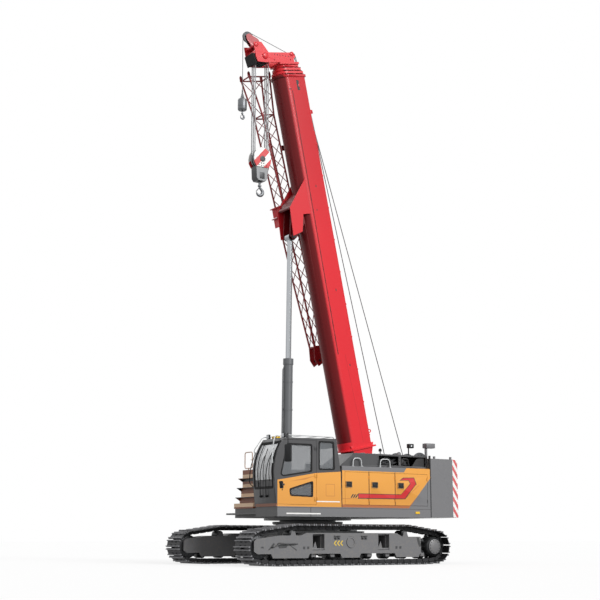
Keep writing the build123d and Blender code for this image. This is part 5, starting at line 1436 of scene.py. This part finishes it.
@dataclass
class Deck:
    """Slewing drives and hoses of the deck, and the bolts of the carbody's neck."""

    ring_bolts: int = 48

    def build(self) -> None:
        """Make every fitting."""
        drives = Form()
        for y in (-0.16, 0.16):
            drives.lathe((0.62, y, 1.3605), UP, (
                (0.0, 0.13), (0.03, 0.13), (0.035, 0.105), (0.20, 0.105), (0.205, 0.118), (0.23, 0.118),
                (0.235, 0.085), (0.40, 0.080), (0.42, 0.05)), 28)
        drives.done("slewing_drives", Palette.cast, Body.UPPER, "engine_grey")
        hoses = Form()
        for index in range(6):
            y = -0.20 + 0.08 * index
            hoses.bar(((-0.30, y * 0.6, 1.361), (-0.34, y * 0.6, 1.62), (-0.60, y, 1.80 + 0.02 * index),
                       (-0.95, y, 1.62), (-1.15, y, 1.40)), 0.14, 0.016, 8)
        hoses.done("deck_hoses", Palette.hose, Body.UPPER, "black_plastic")
        bolted("neck_bolts", ring_of((0, 0, 0.9798), (0, 0, -1), 0.84, self.ring_bolts), 0.034, 0.020,
               Body.CARBODY, "dark_frame")


@dataclass
class BoomFittings:
    """Pads, recess, pipes, pins and bolts of the boom, its head and its cylinder."""

    half: float = 0.29
    back: float = 0.30
    end: float = 10.42
    step: float = 0.034
    pitch: float = 0.100
    tip: float = 10.72
    head_half: float = 0.25
    base: Flat = (0.63, 1.50)           # lift cylinder's lower pin, x and z
    lug: Flat = (6.158, -0.89)          # its upper pin, along the boom and towards its back

    def build(self) -> None:
        """Make every fitting."""
        self.pads()
        self.sides()
        self.pins()
        self.cylinder()
        self.head()

    def pads(self) -> None:
        """Black wear pads that show at the mouth of each section, partly painted shade in the gaps between the collars.
        """
        for index, body in enumerate((Body.BOOM, Body.SECOND, Body.THIRD)):
            form, inwards, along = Form(BOOM_PLACE), index * self.step, self.end + index * self.pitch
            half, back = self.half - inwards, self.back - inwards
            # Partly real wear pads, partly painted shade in the gaps between the collars
            for side in (-1, 1):
                for low, high in ((-0.33, -0.02), (0.03, 0.24)):
                    form.box((along - 0.002, side * (half - 0.016), low), (along + 0.016, side * (half + 0.022), high))
            form.box((along - 0.002, -0.16, back - 0.016), (along + 0.016, 0.16, back + 0.020))
            form.done(f"mouth_pads_{index + 1}", Palette.rubber, body, "black_plastic")

    def sides(self) -> None:
        """Dark plates of painted shade in the recess and slots, lugs, and pipes on the boom's sides and back."""
        dark, red = Form(BOOM_PLACE), Form(BOOM_PLACE)
        # Painted shade: dark plates in the recess and the slots
        for side in (-1, 1):
            for along, up, length, width in ((10.13, 0.015, 0.27, 0.075), (10.027, -0.248, 0.020, 0.075),
                                             (7.408, 0.008, 0.060, 0.022), (6.773, -0.097, 0.050, 0.020),
                                             (4.634, 0.049, 0.060, 0.022), (2.655, 0.064, 0.060, 0.022)):
                dark.box((along - length / 2, side * (self.half - 0.006), up - width / 2),
                         (along + length / 2, side * (self.half + 0.002), up + width / 2), 0.0)
        for y0, y1 in ((self.half - 0.006, self.half + 0.006), (-self.half - 0.002, -self.half + 0.002)):
            red.box((10.085, y0, 0.025), (10.165, y1, 0.060), 0.002)
        dark.done("boom_recesses", Palette.ink, Body.BOOM, "boom_red")
        red.done("boom_recess_lugs", Palette.red, Body.BOOM, "boom_red")
        pipe = Form(BOOM_PLACE)
        for y in (0.20, 0.235):
            pipe.tube([(along, y, self.back + 0.014) for along in (0.60, 8.9)], 0.010, 8)
        for index in range(10):
            along = 0.8 + 0.86 * index
            pipe.box((along - 0.02, 0.18, self.back - 0.002), (along + 0.02, 0.255, self.back + 0.027), 0.003)
        pipe.done("boom_pipes", Palette.red, Body.BOOM, "boom_red")

    def pins(self) -> None:
        """Cap plates and bolts of the boom's foot pin and the lug's pin."""
        for name, (along, y, up), profile, sides, (out, radius, count), size, body, slot in (
                ("foot", (0.0, 0.372, 0.0), ((-0.010, 0.085), (0.010, 0.085), (0.016, 0.078)), 32,
                 (0.014, 0.055, 6), (0.022, 0.012), Body.UPPER, "dark_frame"),
                ("lug", (self.lug[0], 0.195, self.lug[1]), ((-0.008, 0.058), (0.008, 0.058), (0.012, 0.052)), 28,
                 (0.011, 0.034, 4), (0.016, 0.008), Body.BOOM, "boom_red")):
            caps, places = Form(), []
            for side in (-1, 1):
                pin = on_boom(along, side * y, up)
                caps.lathe(pin, (0, side, 0), profile, sides)
                places += ring_of(pin + Vector((0, side * out, 0)), (0, side, 0), radius, count)
            caps.done(f"{name}_pin_caps", Palette.cast, body, slot)
            bolted(f"{name}_pin_bolts", places, *size, body, slot)

    def cylinder(self) -> None:
        """Supply pipe, clips, gland and its bolts on the lift cylinder's barrel."""
        foot, top = Vector((self.base[0], 0.0, self.base[1])), on_boom(self.lug[0], 0.0, self.lug[1])
        line = (top - foot).normalized()
        side = Vector((line.z, 0.0, -line.x))

        def at(along: float, out: float) -> Vector:
            """Place along the barrel's axis and out from it."""
            return foot + line * along + side * out

        form = Form()
        form.tube([at(0.32, 0.150), at(0.36, 0.155), at(3.30, 0.155), at(3.38, 0.120)], 0.016, 10)
        for along in (0.9, 1.6, 2.3, 3.0):
            form.lathe(at(along - 0.02, 0.0), line, ((0.0, 0.119), (0.0, 0.126), (0.04, 0.126), (0.04, 0.119)), 36)
            form.tube((at(along, 0.118), at(along, 0.158)), 0.014, 8)
        form.lathe(at(3.46, 0.0), line, ((0.0, 0.117), (0.0, 0.131), (0.105, 0.131), (0.128, 0.118),
                                         (0.128, 0.0725), (0.10, 0.0725)), 40)
        form.done("barrel_fittings", Palette.cylinder, Body.LIFT_BARREL, "cylinder_grey")
        bolted("gland_bolts", ring_of(at(3.585, 0.0), line, 0.098, 12), 0.020, 0.004, Body.LIFT_BARREL,
               "cylinder_grey")

    def head(self) -> None:
        """Black guard, bolts and shaft caps of the boom's head."""
        form = Form(BOOM_PLACE)
        form.plate(((11.035, -1.168), (10.76, -1.130), (10.755, -1.095), (10.99, -1.095)), -0.215, 0.215)
        form.done("head_guard", Palette.rubber, Body.TIP, "black_plastic")
        caps, places = Form(), []
        for side in (-1, 1):
            facing = (0, side, 0)
            for along, up, reach, out in ((0.22, -0.823, 0.085, 0.014), (0.52, -1.04, 0.06, 0.0),
                                          (0.27, 0.02, 0.062, 0.0)):
                start = on_boom(self.tip + along, side * (self.head_half + out), up)
                caps.lathe(start, facing, ((-0.004, reach), (0.010, reach), (0.015, reach - 0.008)), 28)
                places += ring_of(start + Vector((0, side * 0.012, 0)), facing, reach * 0.66, 4)
            places += [(on_boom(self.tip + 0.20 + 0.012 * row, side * self.head_half, -0.10 - 0.085 * row), facing)
                       for row in range(6)]
        caps.done("head_caps", Palette.red, Body.TIP, "boom_red")
        bolted("head_bolts", places, 0.020, 0.010, Body.TIP, "boom_red")


@dataclass
class Ropes:
    """Wire ropes from the drums over the boom's guide and head to the two hooks."""

    rope: float = 0.011
    shaft: Flat = (1.45957, 12.94982)       # main sheaves, x and z
    block_z: float = 10.18
    reach: float = 0.1945                   # of the ropes' middle from the sheaves' axis
    fall_pitch: float = 0.084
    guide: Flat = (9.46, 0.455)             # along the boom and towards its back
    roller: Flat = (11.005, 0.218)          # behind the head, likewise
    rooster: Flat = (1.84414, 13.45082)
    small_reach: float = 0.1475
    small_x: float = 1.99144
    small_foot: float = 11.86

    def build(self) -> None:
        """Make every rope."""
        self.from_drums()
        self.on_back()
        self.falls()
        self.small()

    def from_drums(self) -> None:
        """Two ropes from the drums up to the guide on the boom's back."""
        guide = on_boom(self.guide[0], 0.0, self.guide[1])
        for name, x, z, y in (("main", -2.61, 2.56, 0.02), ("rear", -3.385, 2.60, -0.03)):
            up = Vector((guide.x - x, 0, guide.z - z)).normalized()
            start = Vector((x, y * 4, z)) + Vector((up.z, 0, -up.x)) * 0.190
            end = Vector((guide.x, y, guide.z))
            form = Form()
            form.tube([start.lerp(end, i / 40) for i in range(41)], self.rope, 8)
            piece = form.done(f"{name}_rope", Palette.rope, None, "rope_steel")
            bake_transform(piece)

    def on_back(self) -> None:
        """Both ropes along the boom's back, from the guide to the head's roller and main sheaves."""
        form = Form()
        roller, up = self.roller
        paths = [[(self.guide[0], y, self.guide[1]), (roller, y, up + 0.066), (roller + 0.06, y, up + 0.05),
                  (roller + 0.075, y, up)] for y in (0.02, -0.03)]
        paths.append([(roller + 0.07, 0.02, up + 0.02), (11.01, 0.0, -0.10), (11.135, 0.0, -0.78)])
        for path in paths:
            form.tube([on_boom(*spot) for spot in path], self.rope, 8)
        form.done("back_ropes", Palette.rope, Body.TIP, "rope_steel")

    def falls(self) -> None:
        """Falls of the main rope, reeved over the head's sheaves and under the block's."""
        form = Form()
        for y in (-self.fall_pitch, 0.0, self.fall_pitch):
            path = swing(self.shaft, y, self.reach, 0.0, math.pi, 12)
            path += swing((self.shaft[0], self.block_z), y, self.reach, math.pi, math.pi, 12)
            form.tube(path + path[:1], self.rope * 1.35, 10)
        form.done("reeved_falls", Palette.pale_rope, Body.HOOK_BLOCK, "rope_steel", "main_falls")

    def small(self) -> None:
        """Rope over the rooster's sheave, back to the head's roller and down to the ball."""
        x, z = self.rooster
        roller = on_boom(self.roller[0], -0.03, self.roller[1] + 0.066)
        away = Vector((roller.x - x, 0, roller.z - z))
        start = (math.atan2(away.z, away.x) - math.acos(self.small_reach / away.length)) % TURN
        form = Form()
        form.tube([roller, *swing(self.rooster, 0.0, self.small_reach, start, -start, 10)], 0.0075, 8)
        form.done("rooster_rope", Palette.rope, Body.TIP, "rope_steel")
        fall = Form()
        fall.tube(((self.small_x, 0.0, z), (self.small_x, 0.0, self.small_foot)), 0.009, 8)
        fall.lathe((self.small_x, 0, self.small_foot - 0.01), UP, ((0.0, 0.020), (0.10, 0.018), (0.14, 0.012)), 16)
        fall.done("ball_rope", Palette.rope, Body.BALL, "rope_steel", "aux_fall")


@dataclass
class Jib:
    """Stowed lattice jib of round tubes, in place of the plain one."""

    top: float = 10.68                  # along the boom
    y: float = -0.575
    # Distance back from the top and below the boom's axis, depth, width, and panels since the row before
    sections: tuple[tuple[float, float, float, float, int], ...] = (
        (7.400, 0.330, 0.180, 0.225, 0), (5.600, 0.410, 0.240, 0.360, 4), (1.150, 0.640, 0.360, 0.410, 12),
        (0.110, 0.700, 0.640, 0.410, 2))
    chord: float = 0.024
    lace: float = 0.011
    brackets: Flat = (4.2, 8.6)

    def station(self, row: Sequence[float]) -> list[Point]:
        """Four corners at a row of the table, in the boom's frame."""
        back, below, depth, width = row[:4]
        return [(self.top - back, y, z) for y, z in square(
            self.y - width / 2, self.y + width / 2, -below - depth / 2, -below + depth / 2)]

    def build(self) -> None:
        """Make the chords, the lacing, the end plates, the forks and the brackets."""
        rows: list[Sequence[float]] = [self.sections[0]]
        for here, there in zip(self.sections, self.sections[1:]):
            rows += [self.between(here, there, (index + 1) / there[4]) for index in range(there[4])]
        stations = [self.station(row) for row in rows]
        form = Form(BOOM_PLACE)
        for chord in zip(*(self.station(row) for row in self.sections)):
            form.tube(chord, self.chord, 12)
        for index, (here, there) in enumerate(zip(stations, stations[1:])):
            for ends in pairs(range(4)):
                first, second = ends[::-1] if index % 2 else ends
                form.tube((here[first], there[second]), self.lace, 6)
        for station in (stations[0], stations[-3], stations[-1]):
            for ends in pairs(station):
                form.tube(ends, 0.021, 8)
        tip, end = stations[0], self.top - 7.85
        front, low, high = tip[0][0] + 0.03, tip[0][2], tip[2][2]
        for _, y, _ in tip[:2]:
            form.plate(((front, low - 0.02), (front, high + 0.02), (end, high - 0.02), (end - 0.06, low + 0.03),
                        (end + 0.12, low - 0.06)), y - 0.009, y + 0.009, 0.003)
        for x, y, z in stations[-1]:
            form.plate(((x - 0.02, z - 0.04), (x - 0.02, z + 0.04), (self.top, z + 0.035), (self.top + 0.035, z + 0.01),
                        (self.top + 0.035, z - 0.01), (self.top, z - 0.035)), y - 0.016, y + 0.016, 0.004)
        for along in self.brackets:
            self.bracket(form, along)
        form.done("lattice_jib", Palette.red_deep, Body.BOOM, "boom_red", "jib")
        pins = Form(BOOM_PLACE)
        for x, y, z, out, radius, sides in (
                *((end + 0.09, y, (low + high) / 2, 0.02, 0.034, 20) for _, y, _ in tip[:2]),
                *((self.top - 0.01, y, z, 0.03, 0.018, 16) for _, y, z in stations[-1])):
            pins.tube(((x, y - out, z), (x, y + out, z)), radius, sides)
        pins.done("jib_pins", Palette.cast, Body.BOOM, "boom_red")

    def bracket(self, form: Form, along: float) -> None:
        """Arm from the boom's side to the jib's upper chord."""
        back = self.top - along
        here, there = next(two for two in zip(self.sections, self.sections[1:]) if two[0][0] >= back >= two[1][0])
        _, below, depth, width, _ = self.between(here, there, (here[0] - back) / (here[0] - there[0]))
        z = depth / 2 - below
        form.box((along - 0.07, -0.32, z - 0.015), (along + 0.07, -0.2903, -0.104))
        form.box((along - 0.07, self.y + width / 2, z - 0.015), (along + 0.07, -0.2903, z + 0.015))

    @staticmethod
    def between(here: Sequence[float], there: Sequence[float], share: float) -> list[float]:
        """Row of the table at a share of the way between two others."""
        return [a + share * (b - a) for a, b in zip(here, there)]


@dataclass
class Hooks:
    """Forged hooks with latches, the block's fittings and the ball weight."""

    shaft_x: float = 1.45957
    hook_z: float = 9.33
    block_z: float = 10.18
    ball_x: float = 1.99144
    ball_low: float = 11.42

    def build(self) -> None:
        """Make both hooks, the block's fittings and the ball's grooves."""
        self.hook("forged_hook", (self.shaft_x, self.hook_z), 0.090, 0.044, 9.66, Body.MAIN_HOOK, "main_hook")
        self.hook("small_forged_hook", (self.ball_x, self.ball_low - 0.170), 0.051, 0.026, self.ball_low - 0.004,
                  Body.SMALL_HOOK, "aux_hook")
        self.block()
        self.ball()

    def hook(self, name: str, centre: Flat, reach: float, thick: float, top: float, body: Body, node: str) -> None:
        """One forged hook: shank, tapering bend, pointed tip and sprung latch.

        Args:
            name: The piece's name.
            centre: Middle of the bend, x and z.
            reach: Radius of the bend's middle line.
            thick: Half thickness at the bend's lowest point.
            top: Height of the shank's top.
            body: Body that it rides on.
            node: Plain solid that it stands for.
        """
        x, z = centre
        path = [(x, 0.0, top), (x, 0.0, z + reach * 1.55), (x - reach * 0.25, 0.0, z + reach * 1.12),
                *swing(centre, 0.0, reach, math.radians(128), math.radians(232), 14),
                (x + reach * 1.10, 0.0, z + reach * 0.26)]
        bend = [0.62 + 0.42 * math.sin(math.pi * (part + 2) / 14) if part < 11 else 1.04 - 0.17 * (part - 9)
                for part in range(15)]
        form = Form()
        form.tube(path, [thick * share for share in (0.66, 0.66, 0.74, *bend, 0.22)], 16)
        form.lathe((x, 0, z + reach * 1.45), UP, ((0.0, thick * 0.7), (thick * 0.35, thick * 1.05),
                                                  (thick * 1.1, thick * 1.05), (thick * 1.3, thick * 0.7)), 24)
        form.finish_index = 1
        form.plate(((x + thick * 0.2, z + reach * 1.12), (x + thick * 0.5, z + reach * 1.22),
                    (x + reach * 1.02, z + reach * 0.34), (x + reach * 0.86, z + reach * 0.26)),
                   -thick * 0.45, thick * 0.45, 0.002)
        form.done(name, (Palette.hook, Palette.cast), body, "cylinder_grey", node)

    def block(self) -> None:
        """Shaft nuts, tie bolts, rope guards and trunnion plates of the hook block."""
        form, places = Form(), []
        x, z = self.shaft_x, self.block_z
        for side in (-1, 1):
            facing = (0, side, 0)
            form.lathe((x, side * 0.152, z), facing, ((-0.004, 0.075), (0.010, 0.075), (0.013, 0.05), (0.0145, 0.05)),
                       32)
            places += ring_of((x, side * 0.150, z - 0.15), facing, 0.05, 4)
            places += [((x + along, side * 0.150, z - 0.17), facing) for along in (-0.11, 0.11)]
            form.box((x - 0.07, side * 0.1275, z - 0.52), (x + 0.07, side * 0.138, z - 0.36))
        form.lathe((x, 0, 9.60), UP, ((0.0, 0.060), (0.011, 0.060)), 28)
        form.done("block_fittings", Palette.cast, Body.HOOK_BLOCK, "block_paint")
        bolted("block_bolts", places, 0.022, 0.012, Body.HOOK_BLOCK, "block_paint")

    def ball(self) -> None:
        """Ball weight with its cone, grooves and lower collar, in place of the plain one."""
        form = Form()
        form.lathe((self.ball_x, 0, self.ball_low), UP,
                   ((0.0, 0.06), (0.0, 0.095), (0.018, 0.114), (0.030, 0.117), (0.100, 0.117), (0.104, 0.113),
                    (0.110, 0.113), (0.114, 0.117), (0.280, 0.117), (0.300, 0.108), (0.312, 0.085),
                    (0.345, 0.055), (0.400, 0.036), (0.438, 0.030), (0.440, 0.015)), 40)
        form.done("ball", Palette.hook, Body.BALL, "cylinder_grey", "aux_weight")


class CadFinishes:
    """Finishes of the solids that show as they are, and softened copies of those with round forms."""

    plain = (
        (Palette.dark, "carbody engine_block"), (Palette.sill, "upper_frame"), (Palette.grey, "winch_frame"),
        (Palette.side_frame, "side_frame_left side_frame_right"), (Palette.glass, "cab_glass cab_door_glass"),
        (Palette.plastic, "seat_base"), (Palette.steps, "access_steps"), (Palette.track, "track_left track_right"),
        (Palette.red, "boom_second boom_third"), (Palette.cylinder, "lift_barrel"), (Palette.chrome, "lift_rod"),
        (Palette.cast, "slew_ring head_sheaves block_sheaves rooster_sheave"))
    softened = (
        ("cab_shell", Palette.cab, Body.UPPER, "body_yellow", 0.010),
        ("cab_door", Palette.cab, Body.CAB_DOOR, "body_yellow", 0.004),
        ("left_hood", Palette.hood, Body.UPPER, "body_grey", 0.0),
        ("hood_door_front", Palette.hood, Body.FRONT_DOOR, "body_yellow", 0.003),
        ("hood_door_middle", Palette.hood, Body.MIDDLE_DOOR, "body_yellow", 0.003),
        ("hood_door_rear", Palette.hood, Body.REAR_DOOR, "body_yellow", 0.003),
        ("right_housing", Palette.grey, Body.UPPER, "body_grey", 0.012),
        ("counterweight", Palette.weight, Body.UPPER, "body_grey", 0.015),
        ("boom_base", Palette.boom, Body.BOOM, "boom_red", 0.0),
        ("boom_fourth", Palette.red, Body.TIP, "boom_red", 0.0),
        ("boom_head", Palette.red, Body.TIP, "boom_red", 0.0),
        ("rooster_arm", Palette.red_dim, Body.TIP, "boom_red", 0.0),
        ("hook_block", Palette.block, Body.HOOK_BLOCK, "block_paint", 0.006),
        ("rollers_left", Palette.cast, Body.LEFT_CRAWLER, "track_steel", 0.0),
        ("rollers_right", Palette.cast, Body.RIGHT_CRAWLER, "track_steel", 0.0),
        ("sprocket_left", Palette.cast, Body.LEFT_CRAWLER, "track_steel", 0.0),
        ("sprocket_right", Palette.cast, Body.RIGHT_CRAWLER, "track_steel", 0.0))

    def build(self) -> None:
        """Dress every solid."""
        for finish, nodes in self.plain:
            for node in nodes.split():
                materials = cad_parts[node].data.materials
                materials.clear()
                materials.append(finish.material())
        for row in self.softened:
            smoothed(*row)


def main() -> None:
    """Build the scene piece by piece."""
    logging.basicConfig(level=logging.INFO, format="%(name)s %(message)s")
    drums = Drum("main_drum", Body.MAIN_DRUM, (-2.61, 2.56)), Drum("rear_drum", Body.REAR_DRUM, (-3.385, 2.60))
    for assembly in (Studio(), CadFinishes(), Crawler(1), Crawler(-1), Cab(), Seat(), Hood(), *drums, Deck(),
                     BoomFittings(), Ropes(), Jib(), Hooks()):
        assembly.build()


if __name__ == "__main__":
    main()
